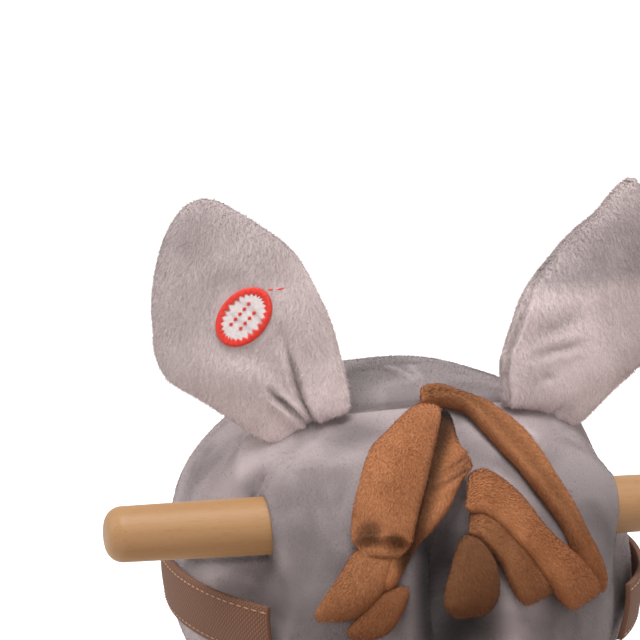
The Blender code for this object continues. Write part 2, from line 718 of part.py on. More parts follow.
def make_body_and_head(frame):
    """Body, neck, head and muzzle, cut to fit each other and the frame inside."""
    body_skin = add_cutter("cutter_body_skin", body_form(CLEARANCE))
    head_skin = add_cutter("cutter_head_skin", head_form(CLEARANCE))
    neck_skin = add_cutter("cutter_neck_skin", neck_form(CLEARANCE))
    posts = [frame[f"{end}_{name}"] for end in ("front", "rear") for name, _ in SIDES]

    body = add_object("body", body_form())
    cut(body, frame["spine"], *posts, frame["neck_post"], make_tail())
    finish(body, GREY_PLUSH, 0.9)
    neck = add_object("neck", neck_form())
    cut(neck, frame["neck_post"], body_skin, head_skin)
    finish(neck, GREY_PLUSH, 0.9)
    head = add_object("head", head_form())
    cut(head, frame["neck_post"], frame["handle"], frame["screw_head"], *make_eyes())
    finish(head, GREY_PLUSH, 0.9)
    muzzle = add_object("muzzle", muzzle_form())
    cut(muzzle, head_skin)
    finish(muzzle, PALE_MUZZLE, 0.9)
    make_legs(frame, body_skin)
    return body_skin, head_skin, neck_skin


def make_eyes():
    """Black domes on stems. Gives back the holes for the stems."""
    holes = []
    for name, side in SIDES:
        spread = side * EYE_SPREAD
        place = Vector((HEAD_X + EYE_AHEAD, spread, head_height(EYE_AHEAD, spread)))
        away = place - Vector((HEAD_X, 0, HEAD_Z))
        outward = Vector((away.x / HEAD_LENGTH**2, away.y / HEAD_WIDTH**2, away.z / HEAD_DEPTH**2))
        outward.normalize()
        set_in = facing(place + outward * CLEARANCE, outward)
        dome = [
            (EYE_RADIUS * math.sin(math.radians(18 * i)), EYE_HEIGHT * math.cos(math.radians(18 * i)))
            for i in range(6)
        ]
        stem = [(EYE_STEM_RADIUS, 0), (EYE_STEM_RADIUS, -EYE_STEM_LENGTH), (0, -EYE_STEM_LENGTH)]
        eye = add_object(f"eye_{name}", placed(turned(dome + stem, 20), set_in))
        finish(eye, BLACK_PLASTIC, 0.08)
        hole = rod(EYE_STEM_RADIUS + CLEARANCE, -EYE_STEM_LENGTH - CLEARANCE, CUT_PAST, 20)
        holes.append(add_cutter(f"cutter_eye_{name}", placed(hole, set_in)))
    return holes


def make_legs(frame, body_skin):
    hoof_top = BOARD_TOP + CLEARANCE + HOOF_HEIGHT
    leg_bottom = hoof_top + CLEARANCE
    leg_top = SPINE_BOTTOM + LEG_TOP_ABOVE_SPINE
    hoof_bottom = BOARD_TOP + CLEARANCE
    for end, x in (("front", LEG_FRONT_X), ("rear", LEG_REAR_X)):
        for name, side in SIDES:
            rings = []
            for share, radius in LEG_SECTIONS:
                middle = Vector((x, side * LEG_SPREAD, leg_bottom + share * (leg_top - leg_bottom)))
                rings.append(oval(middle, Vector((radius, 0, 0)), Vector((0, radius, 0)), 18))
            leg = add_object(f"leg_{end}_{name}", loft(rings))
            cut(leg, body_skin, frame[f"{end}_{name}"])
            finish(leg, GREY_PLUSH, 0.9)
            rings = []
            for share, radius in HOOF_SECTIONS:
                middle = Vector((x, side * LEG_SPREAD, hoof_bottom + share * HOOF_HEIGHT))
                rings.append(oval(middle, Vector((radius, 0, 0)), Vector((0, radius, 0)), 18))
            hoof = add_object(f"hoof_{end}_{name}", loft(rings))
            cut(hoof, frame[f"{end}_{name}"])
            finish(hoof, BROWN_PLUSH, 0.9)


def ear_frame():
    """Left ear: X towards the inner edge, Y up the ear, Z out of its rear face."""
    base = Vector((
        HEAD_X - EAR_BEHIND_HEAD_MIDDLE,
        EAR_SPREAD,
        head_height(EAR_BEHIND_HEAD_MIDDLE, EAR_SPREAD) + EAR_LIFT,
    ))
    inward = Vector((-math.sin(EAR_TURN), -math.cos(EAR_TURN), 0))
    rear = Vector((-math.cos(EAR_TURN), math.sin(EAR_TURN), 0))
    turn = Matrix((inward, Vector((0, 0, 1)), rear)).transposed().to_4x4()
    return Matrix.Translation(base) @ turn


def ear_form():
    rings = []
    for height, inner, outer, half_thick in smooth_rows(EAR_ROWS, 2):
        middle = Vector(((inner - outer) / 2, height, 0))
        rings.append(oval(middle, Vector(((inner + outer) / 2, 0, 0)), Vector((0, 0, half_thick)), 20))
    return loft(rings)


def make_ears(head_skin):
    left = add_object("ear_left", placed(ear_form(), ear_frame()))
    cut(left, head_skin, *sound_room())
    mirrored = placed(placed(ear_form(), ear_frame()), Matrix.Scale(-1, 4, (0, 1, 0)))
    right = add_object("ear_right", mirrored)
    cut(right, head_skin)
    for ear in (left, right):
        finish(ear, EAR_PLUSH, 0.9)


def sound_frame():
    return ear_frame() @ Matrix.Translation((-BADGE_ACROSS, BADGE_UP, 0))


def badge_outline(grow=0.0):
    points = []
    for i in range(28):
        angle = math.tau * i / 28
        along = (BADGE_LENGTH / 2 + grow) * math.cos(angle)
        aside = (BADGE_WIDTH / 2 + grow) * math.sin(angle)
        points.append((
            along * math.cos(BADGE_TILT) - aside * math.sin(BADGE_TILT),
            along * math.sin(BADGE_TILT) + aside * math.cos(BADGE_TILT),
        ))
    return points


def sound_levels():
    """Depths of the sound unit's layers, from the ear's middle plane."""
    rim = UNIT_BACK + CASE_DEPTH
    cover_top = rim + CLEARANCE + COVER_THICKNESS
    cap_back = cover_top + BUTTON_TRAVEL + CLEARANCE
    return rim, cover_top, cap_back


def sound_room():
    """The hollow in the ear: the unit's chamber, the cap's well and the badge's pocket."""
    rim, cover_top, _ = sound_levels()
    pocket_floor = BADGE_BACK - BUTTON_TRAVEL - CLEARANCE
    well = rod(BUTTON_CAP_RADIUS + 2 * CLEARANCE, rim, BADGE_BACK, 20)
    chamber = rod(UNIT_RADIUS + CLEARANCE, UNIT_BACK - CLEARANCE, cover_top + CLEARANCE, 24)
    pocket = prism(badge_outline(2 * CLEARANCE), pocket_floor, BADGE_BACK + CUT_PAST)
    return [
        add_cutter("cutter_unit_chamber", placed(chamber, sound_frame())),
        add_cutter("cutter_cap_well", placed(well, sound_frame())),
        add_cutter("cutter_badge_pocket", placed(pocket, sound_frame())),
    ]


def make_sound_unit():
    """Case, speaker, circuit board, cells, cover, button and the badge over the button."""
    frame = sound_frame()
    rim, cover_top, cap_back = sound_levels()
    inner = UNIT_RADIUS - UNIT_WALL
    floor = UNIT_BACK + UNIT_WALL
    case_profile = (
        (0, UNIT_BACK), (UNIT_RADIUS, UNIT_BACK), (UNIT_RADIUS, rim), (inner, rim), (inner, floor), (0, floor)
    )
    case = add_object("sound_case", placed(turned(case_profile, 24), frame))
    finish(case, WHITE_PLASTIC, 0.4)
    speaker_top = floor + CLEARANCE + SPEAKER_THICKNESS
    speaker_profile = (
        (0, speaker_top - SPEAKER_CONE_DEPTH), (SPEAKER_DOME_RADIUS, speaker_top - SPEAKER_DOME_DEPTH),
        (SPEAKER_CONE_RADIUS, speaker_top), (SPEAKER_RADIUS, speaker_top),
        (SPEAKER_RADIUS, floor + CLEARANCE), (0, floor + CLEARANCE),
    )
    speaker = add_object("speaker", placed(turned(speaker_profile, 20), frame))
    finish(speaker, STEEL, 0.4, 1.0)
    board_low = speaker_top + CLEARANCE
    board_top = board_low + BOARD_UNIT_THICKNESS
    board = add_object("circuit_board", placed(rod(BOARD_UNIT_RADIUS, board_low, board_top, 24), frame))
    finish(board, BOARD_GREEN, 0.5)
    for i in range(3):
        angle = math.radians(90 + 120 * i)
        aside = Matrix.Translation((CELL_RING_RADIUS * math.cos(angle), CELL_RING_RADIUS * math.sin(angle), 0))
        low = board_top + CLEARANCE
        cell_profile = (
            (0, low + CELL_THICKNESS), (CELL_RADIUS - CELL_EDGE, low + CELL_THICKNESS),
            (CELL_RADIUS, low + CELL_THICKNESS - CELL_EDGE), (CELL_RADIUS, low), (0, low),
        )
        cell = add_object(f"button_cell_{i + 1}", placed(turned(cell_profile, 16), frame @ aside))
        finish(cell, STEEL, 0.25, 1.0)
    hole = BUTTON_STEM_RADIUS + 2 * CLEARANCE
    low = rim + CLEARANCE
    bm = turned(((0, cover_top), (UNIT_RADIUS, cover_top), (UNIT_RADIUS, low), (0, low)), 24)
    cover = add_object("sound_cover", placed(bm, frame))
    stem_hole = placed(rod(hole, low - CUT_PAST, cover_top + CUT_PAST, 20), frame)
    cut(cover, add_cutter("cutter_cover_hole", stem_hole))
    finish(cover, WHITE_PLASTIC, 0.4)

    flange_top = rim
    flange_low = flange_top - BUTTON_FLANGE_THICKNESS
    cap_top = BADGE_BACK - CLEARANCE
    button_profile = (
        (0, cap_top), (BUTTON_CAP_RADIUS, cap_top), (BUTTON_CAP_RADIUS, cap_top - BUTTON_CAP_THICKNESS),
        (BUTTON_STEM_RADIUS, cap_top - BUTTON_CAP_THICKNESS), (BUTTON_STEM_RADIUS, flange_top),
        (BUTTON_FLANGE_RADIUS, flange_top), (BUTTON_FLANGE_RADIUS, flange_low), (0, flange_low),
    )
    button = add_object("sound_button", placed(turned(button_profile, 20), frame), origin=frame.translation)
    finish(button, WHITE_PLASTIC, 0.4)
    plate = placed(prism(badge_outline(), BADGE_BACK, BADGE_BACK + BADGE_THICKNESS), frame)
    badge = add_object("press_badge", plate, origin=frame.translation)
    finish(badge, BADGE_RED, 0.6)


def make_mane(head_skin, neck_skin):
    """Strips are laid in order, and each is cut back by those laid before it."""
    laid = []
    rows = [(*row, on_head) for row in MANE_ON_HEAD] + [(*row, on_neck) for row in MANE_ON_NECK]
    for name, points, surface in rows:
        strip = add_object(name, strip_form(points, surface))
        cut(strip, head_skin, neck_skin, *laid)
        finish(strip, BROWN_PLUSH, 0.9)
        laid.append(add_cutter(f"cutter_{name}", strip_form(points, surface, CLEARANCE)))


def make_straps(body_skin, head_skin):
    """Noseband, reins and girth, each a band of a thin shell round the stuffed form it lies on."""
    head_shell = add_cutter("cutter_head_shell", head_form(CLEARANCE + STRAP_THICKNESS))
    muzzle_skin = add_cutter("cutter_muzzle_skin", muzzle_form(CLEARANCE))
    band_rear = HEAD_X + NOSEBAND_AHEAD
    low = (band_rear, -CUT_BEYOND, HEAD_Z - CUT_BEYOND)
    high = (band_rear + NOSEBAND_WIDTH, CUT_BEYOND, HEAD_Z + CUT_BEYOND)
    zone = add_cutter("cutter_noseband", box(low, high))
    noseband = add_object("noseband", muzzle_form(CLEARANCE + STRAP_THICKNESS))
    boolean(noseband, head_shell, "UNION")
    boolean(noseband, zone, "INTERSECT")
    cut(noseband, muzzle_skin, head_skin)
    finish(noseband, BROWN_STRAP, 0.8)

    top = HEAD_Z + REIN_TOP_ABOVE_HEAD_MIDDLE
    for name, side in SIDES:
        low = (HEAD_X + REIN_BACK_END, min(0, side * CUT_BEYOND), top - STRAP_WIDTH)
        high = (band_rear - CLEARANCE, max(0, side * CUT_BEYOND), top)
        zone = add_cutter(f"cutter_rein_{name}", box(low, high))
        rein = add_object(f"rein_{name}", muzzle_form(CLEARANCE + STRAP_THICKNESS))
        boolean(rein, head_shell, "UNION")
        boolean(rein, zone, "INTERSECT")
        cut(rein, muzzle_skin, head_skin)
        finish(rein, BROWN_STRAP, 0.8)

    edge = BODY_HEIGHT - SADDLE_EDGE_BELOW_BODY_MIDDLE
    low = (GIRTH_X - STRAP_WIDTH / 2, -CUT_BEYOND, edge - CUT_BEYOND)
    high = (GIRTH_X + STRAP_WIDTH / 2, CUT_BEYOND, edge - CLEARANCE)
    zone = add_cutter("cutter_girth", box(low, high))
    girth = add_object("girth", body_form(CLEARANCE + STRAP_THICKNESS))
    boolean(girth, zone, "INTERSECT")
    cut(girth, body_skin)
    finish(girth, BROWN_STRAP, 0.8)


def make_saddle(body_skin):
    middle = (BODY_X - SADDLE_BEHIND_BODY_MIDDLE, 0, BODY_HEIGHT + SADDLE_ABOVE_BODY_MIDDLE)
    size = (2 * SADDLE_HALF_LENGTH, 2 * SADDLE_HALF_WIDTH, 2 * SADDLE_HALF_HEIGHT)
    saddle = add_object("saddle", egg(middle, *size, 0.0, 32, 20))
    edge = BODY_HEIGHT - SADDLE_EDGE_BELOW_BODY_MIDDLE
    low = (middle[0] - SADDLE_TRIM_HALF_LENGTH, -CUT_BEYOND, edge)
    high = (middle[0] + SADDLE_TRIM_HALF_LENGTH, CUT_BEYOND, edge + CUT_BEYOND)
    zone = add_cutter("cutter_saddle", box(low, high))
    boolean(saddle, zone, "INTERSECT")
    cut(saddle, body_skin)
    finish(saddle, BROWN_PLUSH, 0.8)


clear_scene()
make_base()
body_skin, head_skin, neck_skin = make_body_and_head(make_frame())
make_ears(head_skin)
make_sound_unit()
make_mane(head_skin, neck_skin)
make_straps(body_skin, head_skin)
make_saddle(body_skin)
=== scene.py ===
import math

import bmesh
import bpy
import numpy as np
from mathutils import Matrix, Vector


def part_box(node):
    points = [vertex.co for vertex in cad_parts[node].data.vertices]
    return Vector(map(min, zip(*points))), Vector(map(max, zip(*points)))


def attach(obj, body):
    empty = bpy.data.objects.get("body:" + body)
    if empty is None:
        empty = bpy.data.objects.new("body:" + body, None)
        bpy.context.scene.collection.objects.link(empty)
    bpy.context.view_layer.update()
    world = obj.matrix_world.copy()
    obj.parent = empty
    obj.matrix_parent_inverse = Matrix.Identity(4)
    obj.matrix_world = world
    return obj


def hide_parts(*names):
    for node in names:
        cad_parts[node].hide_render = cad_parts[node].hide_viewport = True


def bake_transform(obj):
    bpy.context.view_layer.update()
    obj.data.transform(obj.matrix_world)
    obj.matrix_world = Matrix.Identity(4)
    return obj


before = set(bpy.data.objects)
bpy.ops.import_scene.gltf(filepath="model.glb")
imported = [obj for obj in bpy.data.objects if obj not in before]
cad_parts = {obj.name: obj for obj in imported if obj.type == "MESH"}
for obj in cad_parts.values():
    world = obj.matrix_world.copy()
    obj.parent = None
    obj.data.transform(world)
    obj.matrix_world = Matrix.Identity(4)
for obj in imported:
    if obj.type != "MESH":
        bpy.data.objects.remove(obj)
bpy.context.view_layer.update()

# Studio: a pale floor, a white surround and soft lamps. The camera stands behind the animal's left
# side and looks down a little, as a rider would, with the handle bar low in the picture.
PIXEL = 0.00043
PICTURE_WIDTH = 640
VIEW_TURN = math.radians(14)
VIEW_DOWN = math.radians(12)
VIEW_DISTANCE = 2.4
HANDLE_PIXEL = (440, 515)
AMBIENT = 0.36
FLOOR_HALF = 8


def fitted(node):
    """The low and high corners of a CAD piece, its middle and its half sizes."""
    low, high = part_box(node)
    return low, high, (low + high) / 2, (high - low) / 2


def put_in_scene(name, data):
    """Makes an object of a mesh, a curve, a lamp or a camera."""
    item = bpy.data.objects.new(name, data)
    bpy.context.scene.collection.objects.link(item)
    return item


handle_middle, handle_half = fitted("handle_bar")[2:]
view_ahead = Vector((
    math.cos(VIEW_DOWN) * math.cos(VIEW_TURN),
    -math.cos(VIEW_DOWN) * math.sin(VIEW_TURN),
    -math.sin(VIEW_DOWN),
))
view_right = Vector((-math.sin(VIEW_TURN), -math.cos(VIEW_TURN), 0))
view_up = view_right.cross(view_ahead)
picture_middle = (
    handle_middle
    + view_right * (PICTURE_WIDTH / 2 - HANDLE_PIXEL[0]) * PIXEL
    + view_up * (HANDLE_PIXEL[1] - PICTURE_WIDTH / 2) * PIXEL
)
camera_data = bpy.data.cameras.new("camera")
camera_data.sensor_width = 36
camera_data.lens = camera_data.sensor_width * VIEW_DISTANCE / (PICTURE_WIDTH * PIXEL)
camera = put_in_scene("camera", camera_data)
camera.location = picture_middle - view_ahead * VIEW_DISTANCE
camera.rotation_euler = view_ahead.to_track_quat("-Z", "Y").to_euler()
bpy.context.scene.camera = camera
bpy.context.scene.view_settings.view_transform = "Standard"


def feed(node, sockets):
    """Sets each socket of a node to a value, or links it to another node's output."""
    for name, value in sockets.items():
        if isinstance(value, bpy.types.NodeSocket):
            node.id_data.links.new(value, node.inputs[name])
        else:
            node.inputs[name].default_value = value


def add(tree, kind, sockets=None, **settings):
    """Adds a node with its settings, and feeds its sockets."""
    node = tree.nodes.new(kind)
    for name, value in settings.items():
        setattr(node, name, value)
    feed(node, sockets or {})
    return node


def maths(tree, operation, *values, **settings):
    """What a Math node makes of the values."""
    return add(tree, "ShaderNodeMath", dict(enumerate(values)), operation=operation, **settings).outputs[0]


def ranged(tree, value, low, high, start=0.0, end=1.0, **settings):
    """A value that goes from low to high while the given one goes from start to end."""
    return add(tree, "ShaderNodeMapRange", {
        "Value": value, "From Min": start, "From Max": end, "To Min": low, "To Max": high,
    }, **settings).outputs[0]


def object_place(tree):
    """Where a surface is, on the axes of its object."""
    return add(tree, "ShaderNodeTexCoord").outputs["Object"]


def new_material(name):
    """A material, its node tree and its Principled shader."""
    material = bpy.data.materials.new(name)
    material.use_nodes = True
    return material, material.node_tree, material.node_tree.nodes["Principled BSDF"]


def white_to_camera(tree, strength):
    """A strength that is 1 where the camera, a gloss or a glass looks straight at the surface."""
    path = add(tree, "ShaderNodeLightPath").outputs
    seen = maths(tree, "MAXIMUM", path["Is Camera Ray"], path["Is Glossy Ray"])
    seen = maths(tree, "MAXIMUM", seen, path["Is Transmission Ray"])
    return maths(tree, "MULTIPLY_ADD", seen, 1 - strength, strength)


world = bpy.data.worlds.new("white surround")
world.use_nodes = True
world.node_tree.nodes.clear()
surround = add(world.node_tree, "ShaderNodeBackground", {
    "Color": (1, 1, 1, 1), "Strength": white_to_camera(world.node_tree, AMBIENT),
})
add(world.node_tree, "ShaderNodeOutputWorld", {"Surface": surround.outputs[0]})
bpy.context.scene.world = world


def make_object(name, bm):
    """Makes an object of a bmesh, and closes the bmesh."""
    mesh = bpy.data.meshes.new(name)
    bm.to_mesh(mesh)
    bm.free()
    return put_in_scene(name, mesh)


bm = bmesh.new()
bmesh.ops.create_grid(bm, x_segments=1, y_segments=1, size=FLOOR_HALF)
floor = make_object("floor", bm)
floor_paint, tree, shader = new_material("pale floor")
from_middle = add(tree, "ShaderNodeVectorMath", {0: object_place(tree)}, operation="LENGTH").outputs["Value"]
whiter = ranged(tree, from_middle, 0.12, 0.9, 0.5, 2.2)
feed(shader, {
    "Base Color": (0.93, 0.93, 0.93, 1), "Roughness": 0.9, "Specular IOR Level": 0.1,
    "Emission Color": (1, 1, 1, 1),
    "Emission Strength": maths(tree, "MULTIPLY", whiter, white_to_camera(tree, 0)),
})
floor.data.materials.append(floor_paint)

# Each lamp: name, where it stands, its side in metres and its power in watts.
for name, place, side, power in (
    ("large lamp above", (-0.65, 0.35, 2.7), 1.1, 50),
    ("rider's side lamp", (-2.3, -0.1, 1.7), 1.6, 11),
    ("left lamp", (0.7, 1.9, 1.5), 1.2, 14),
    ("front lamp", (1.8, -1.6, 1.9), 1.5, 12),
):
    lamp_data = bpy.data.lights.new(name, "AREA")
    lamp_data.size = side
    lamp_data.energy = power
    lamp = put_in_scene(name, lamp_data)
    lamp.location = place
    lamp.rotation_euler = (handle_middle - Vector(place)).to_track_quat("-Z", "Y").to_euler()


# Head: a stuffed dome of short velvet plush in a front and a rear panel, which meet in a seam from
# ear to ear. The handle bar goes in through a small hole on each side, where the cloth is drawn in.
MM = 0.001
SIDES = (("left", 1), ("right", -1))
GREY_LIGHT = (0.52, 0.437, 0.437, 1)
GREY_DARK = (0.31, 0.252, 0.254, 1)
# The colour that painted shade in seams, folds and hollows darkens towards.
GROOVE_SHADE_COLOUR = (0.05, 0.03, 0.03, 1)
head_middle, head_half = fitted("head")[2:]


def add_piece(name, bm, body="animal"):
    """Makes a smooth piece of the mesh, riding on a body if one is given."""
    piece = make_object(name, bm)
    piece.data.shade_smooth()
    if body:
        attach(piece, body)
    return piece


def dress(piece, slot, material, *nodes):
    """Gives a piece its material, and hides the CAD pieces that it stands for. The slot is not used."""
    if nodes:
        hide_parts(*nodes)
    piece.data.materials.append(material)


def stuffed_ball(name, middle, half, subdivisions):
    """A round stuffed form, with the half sizes given."""
    bm = bmesh.new()
    bmesh.ops.create_icosphere(bm, subdivisions=subdivisions, radius=1)
    bmesh.ops.scale(bm, verts=bm.verts, vec=half)
    bmesh.ops.translate(bm, verts=bm.verts, vec=middle)
    return add_piece(name, bm)


def mesh_values(mesh, what="co"):
    """The places of a mesh's vertices, or their normals, as rows of three numbers."""
    values = np.empty(len(mesh.vertices) * 3)
    mesh.vertices.foreach_get(what, values)
    return values.reshape(-1, 3)


def move_to(piece, places):
    """Moves the vertices of a piece."""
    piece.data.vertices.foreach_set("co", places.ravel())
    piece.data.update()


def paint(piece, layer, change):
    """Changes a layer that holds a number for each vertex, and starts at 0."""
    held = piece.data.attributes.get(layer) or piece.data.attributes.new(layer, "FLOAT", "POINT")
    before = np.empty(len(piece.data.vertices))
    held.data.foreach_get("value", before)
    held.data.foreach_set("value", change(before))


def shade_plush(piece, amount):
    """Paints shade into the plush by the amount given, as if shadow or shade fell there."""
    paint(piece, "shade", lambda before: np.maximum(before, amount))


def paint_light(piece, amount):
    """Paints light into the plush by the amount given, as if more light fell there."""
    paint(piece, "shade", lambda before: before - amount)


def fade(gap, reach, power=2):
    """1 where there is no gap, and next to nothing well past the reach."""
    return np.exp(-(gap / reach) ** power)


def gap_to(places, spot):
    """Distance of each place from a point."""
    return np.linalg.norm(places - np.array(spot, float), axis=1)


def near_line(places, line):
    """Distance of each place from a line of points, and how far along the line it is nearest."""
    line = [np.array(point, float) for point in line]
    lengths = [np.linalg.norm(end - start) for start, end in zip(line, line[1:])]
    nearest = np.full(len(places), np.inf)
    along = np.zeros(len(places))
    passed = 0
    for start, end, length in zip(line, line[1:], lengths):
        share = np.clip((places - start) @ (end - start) / length**2, 0, 1)
        gap = np.linalg.norm(places - start - share[:, None] * (end - start), axis=1)
        closer = gap < nearest
        nearest[closer] = gap[closer]
        along[closer] = (passed + share[closer] * length) / sum(lengths)
        passed += length
    return nearest, along


def press_line(piece, line, depths, width, puff=0.35, facing=None, seam=1.0):
    """Presses a seam or a fold into a stuffed piece, and puffs the cloth up on both sides of it.
    depths are spread evenly along the line. With facing, only the side that faces there is pressed.
    seam says how much painted shade darkens the bottom of it."""
    places = mesh_values(piece.data)
    outward = mesh_values(piece.data, "normal")
    flat = places
    on_side = np.ones(len(places))
    if facing is not None:
        facing = np.array(facing, float)
        line = [np.array(point, float) - facing * (np.array(point, float) @ facing) for point in line]
        flat = places - np.outer(places @ facing, facing)
        on_side = np.clip(outward @ facing * 2.5, 0, 1)
    nearest, along = near_line(flat, line)
    depth = np.interp(along, np.linspace(0, 1, len(depths)), depths) * on_side
    groove = fade(nearest, width)
    shoulder = fade(nearest - 2.4 * width, 1.2 * width)
    places += outward * (depth * (puff * shoulder - groove))[:, None]
    # Painted shade in the bottom of the groove.
    if seam:
        deepest = max(abs(depth).max(), 1e-9)
        paint(piece, "seam", lambda before: np.maximum(before, seam * groove * abs(depth) / deepest))
    move_to(piece, places)


def swell(piece, middle, radius, amount, direction=None):
    """Pushes the cloth out, or in, round a point."""
    places = mesh_values(piece.data)
    outward = mesh_values(piece.data, "normal") if direction is None else np.array(direction, float)
    places += outward * (amount * fade(gap_to(places, middle), radius))[:, None]
    move_to(piece, places)


def ripple(piece, sizes, amounts, seed):
    """Gives a stuffed form the soft unevenness of its filling. Sizes are the lengths of the swells."""
    places = mesh_values(piece.data)
    outward = mesh_values(piece.data, "normal")
    draw = np.random.default_rng(seed)
    rise = np.zeros(len(places))
    for size, amount in zip(sizes, amounts):
        for _ in range(7):
            direction = draw.normal(size=3)
            direction /= np.linalg.norm(direction)
            phase = draw.uniform(0, math.tau)
            rise += amount / 3.5 * np.sin(places @ direction * math.tau / size + phase)
    places += outward * rise[:, None]
    move_to(piece, places)


def on_form(middle, half, front, up, left, lift):
    """A point over a round form, by angles in degrees from the middle of its front, where front is
    1, or of its back, where it is -1."""
    up, left = math.radians(up), math.radians(left)
    unit = Vector((front * math.cos(left) * math.cos(up), math.sin(left), math.cos(left) * math.sin(up)))
    return middle + unit * (half + Vector((lift, lift, lift)))


def on_head(up, left, lift=0.0):
    """A point over the head, by angles in degrees from the middle of its back."""
    return on_form(head_middle, head_half, -1, up, left, lift)


def new_group(name, kind, inputs, outputs):
    """A node group with its sockets, and what its input node gives."""
    group = bpy.data.node_groups.new(name, kind)
    for way, sockets in (("INPUT", inputs), ("OUTPUT", outputs)):
        for socket, holds in sockets.items():
            group.interface.new_socket(socket, in_out=way, socket_type=f"NodeSocket{holds}")
    return group, add(group, "NodeGroupInput").outputs


def noise(tree, where, scale, detail, roughness=0.5, distortion=0.0, gives="Fac"):
    """Noise over places. It gives a number, or three of them as a colour."""
    return add(tree, "ShaderNodeTexNoise", {
        "Vector": where, "Scale": scale, "Detail": detail, "Roughness": roughness, "Distortion": distortion,
    }).outputs[gives]


def painted(tree, layer):
    """What is painted in a layer of the mesh."""
    return add(tree, "ShaderNodeAttribute", attribute_name=layer).outputs["Fac"]


def mixed(tree, share, one, other):
    """A colour between two."""
    return add(tree, "ShaderNodeMix", {
        "Factor": share, 6: one, 7: other,
    }, data_type="RGBA", clamp_factor=True).outputs[2]


def scaled(tree, vector, scale):
    """A colour or a vector times a number."""
    return add(tree, "ShaderNodeVectorMath", {0: vector, "Scale": scale}, operation="SCALE").outputs[0]


def raised(tree, height, strength, distance):
    """A normal that follows small heights."""
    return add(tree, "ShaderNodeBump", {
        "Height": height, "Strength": strength, "Distance": distance,
    }).outputs["Normal"]


# Brushed plush, shared by all the stuffed pieces: soft light and dark patches where the pile was stroked,
# fine strands, painted shade in the bottom of each seam, fold and hollow, and the painted shade and light
# held in the shade layer.
plush_group, given = new_group("brushed plush", "ShaderNodeTree", {
    "Light": "Color", "Dark": "Color", "Patches": "Float", "Patch Amount": "Float",
    "Strands": "Float", "Strand Amount": "Float",
}, {"Color": "Color", "Height": "Float"})
place = object_place(plush_group)
broad = noise(plush_group, place, given["Patches"], 2.0, 0.5, 0.3)
broad = ranged(plush_group, broad, 0.0, 1.0, 0.36, 0.62, interpolation_type="SMOOTHSTEP")
fine = noise(plush_group, place, given["Strands"], 3, 0.6)
tone = maths(plush_group, "MULTIPLY", broad, given["Patch Amount"])
tone = maths(plush_group, "MULTIPLY_ADD", fine, given["Strand Amount"], tone)
tint = mixed(plush_group, tone, given["Dark"], given["Light"])
groove_shade = maths(plush_group, "MULTIPLY", painted(plush_group, "seam"), 0.55)
sewn = mixed(plush_group, groove_shade, tint, GROOVE_SHADE_COLOUR)
# Painted shade and light: the shade layer darkens the colour, and lightens it where it is below 0.
kept = maths(plush_group, "SUBTRACT", 1.0, painted(plush_group, "shade"))
add(plush_group, "NodeGroupOutput", {"Color": scaled(plush_group, sewn, kept), "Height": fine})


def plush_material(
    name, light, dark, patches=22, patch_amount=0.75, strands=1300, strand_amount=0.35, bump=0.0006,
):
    """Brushed plush between two colours, with a bump unless its tufts give it one."""
    material, tree, shader = new_material(name)
    group = add(tree, "ShaderNodeGroup", {
        "Light": light, "Dark": dark, "Patches": patches, "Patch Amount": patch_amount,
        "Strands": strands, "Strand Amount": strand_amount,
    }, node_tree=plush_group).outputs
    feed(shader, {
        "Base Color": group["Color"], "Roughness": 0.95, "Specular IOR Level": 0.15,
        "Sheen Weight": 0.06, "Sheen Roughness": 0.45,
    })
    if bump:
        feed(shader, {"Normal": raised(tree, group["Height"], 0.8, bump)})
    return material


def tuft_material(name, light, dark, patches=22, patch_amount=0.6, darkest=0.72):
    """Each tuft has its own tone, and takes part in the patches of the plush that it stands on."""
    material = plush_material(name, light, dark, patches, patch_amount, 400, 0.1, bump=0)
    tree = material.node_tree
    colour = tree.nodes["Principled BSDF"].inputs["Base Color"]
    tone = ranged(tree, painted(tree, "tone"), darkest, 1.12)
    tree.links.new(scaled(tree, colour.links[0].from_socket, tone), colour)
    return material


# Pile: fine tapered tufts that stand on a stuffed piece and lean the way it was combed.
pile_tree, given = new_group("pile", "GeometryNodeTree", {
    "Skin": "Geometry", "Tufts per m2": "Float", "Length": "Float", "Width": "Float",
    "Rise": "Float", "Spread": "Float", "Swirl": "Float", "Seed": "Int",
}, {"Pile": "Geometry"})
pile_socket = {socket.name: socket.identifier for socket in pile_tree.interface.items_tree}
bald = add(pile_tree, "GeometryNodeInputNamedAttribute", {"Name": "bald"}, data_type="FLOAT").outputs[0]
covered = maths(pile_tree, "SUBTRACT", 1.0, bald, use_clamp=True)
roots = add(pile_tree, "GeometryNodeDistributePointsOnFaces", {
    "Mesh": given["Skin"], "Density": maths(pile_tree, "MULTIPLY", covered, given["Tufts per m2"]),
    "Seed": given["Seed"],
}, distribute_method="RANDOM").outputs
combed = add(pile_tree, "GeometryNodeInputNamedAttribute", {
    "Name": "comb",
}, data_type="FLOAT_VECTOR").outputs[0]
stray = add(pile_tree, "FunctionNodeRandomValue", {
    0: (-1, -1, -1), 1: (1, 1, 1), "Seed": given["Seed"],
}, data_type="FLOAT_VECTOR").outputs[0]
position = add(pile_tree, "GeometryNodeInputPosition").outputs[0]
eddies = add(pile_tree, "ShaderNodeVectorMath", {
    0: noise(pile_tree, position, 95.0, 2.0, gives="Color"), 1: (0.5, 0.5, 0.5),
}, operation="SUBTRACT").outputs[0]
lean = scaled(pile_tree, roots["Normal"], given["Rise"])
for part in (combed, scaled(pile_tree, stray, given["Spread"]), scaled(pile_tree, eddies, given["Swirl"])):
    lean = add(pile_tree, "ShaderNodeVectorMath", {0: lean, 1: part}, operation="ADD").outputs[0]
turn = add(pile_tree, "FunctionNodeAlignRotationToVector", {"Vector": lean}, axis="Z").outputs[0]
tuft = add(pile_tree, "GeometryNodeMeshCone", {
    "Vertices": 3, "Radius Top": 0.0, "Radius Bottom": maths(pile_tree, "MULTIPLY", given["Width"], 0.5),
    "Depth": given["Length"],
}, fill_type="NGON").outputs["Mesh"]
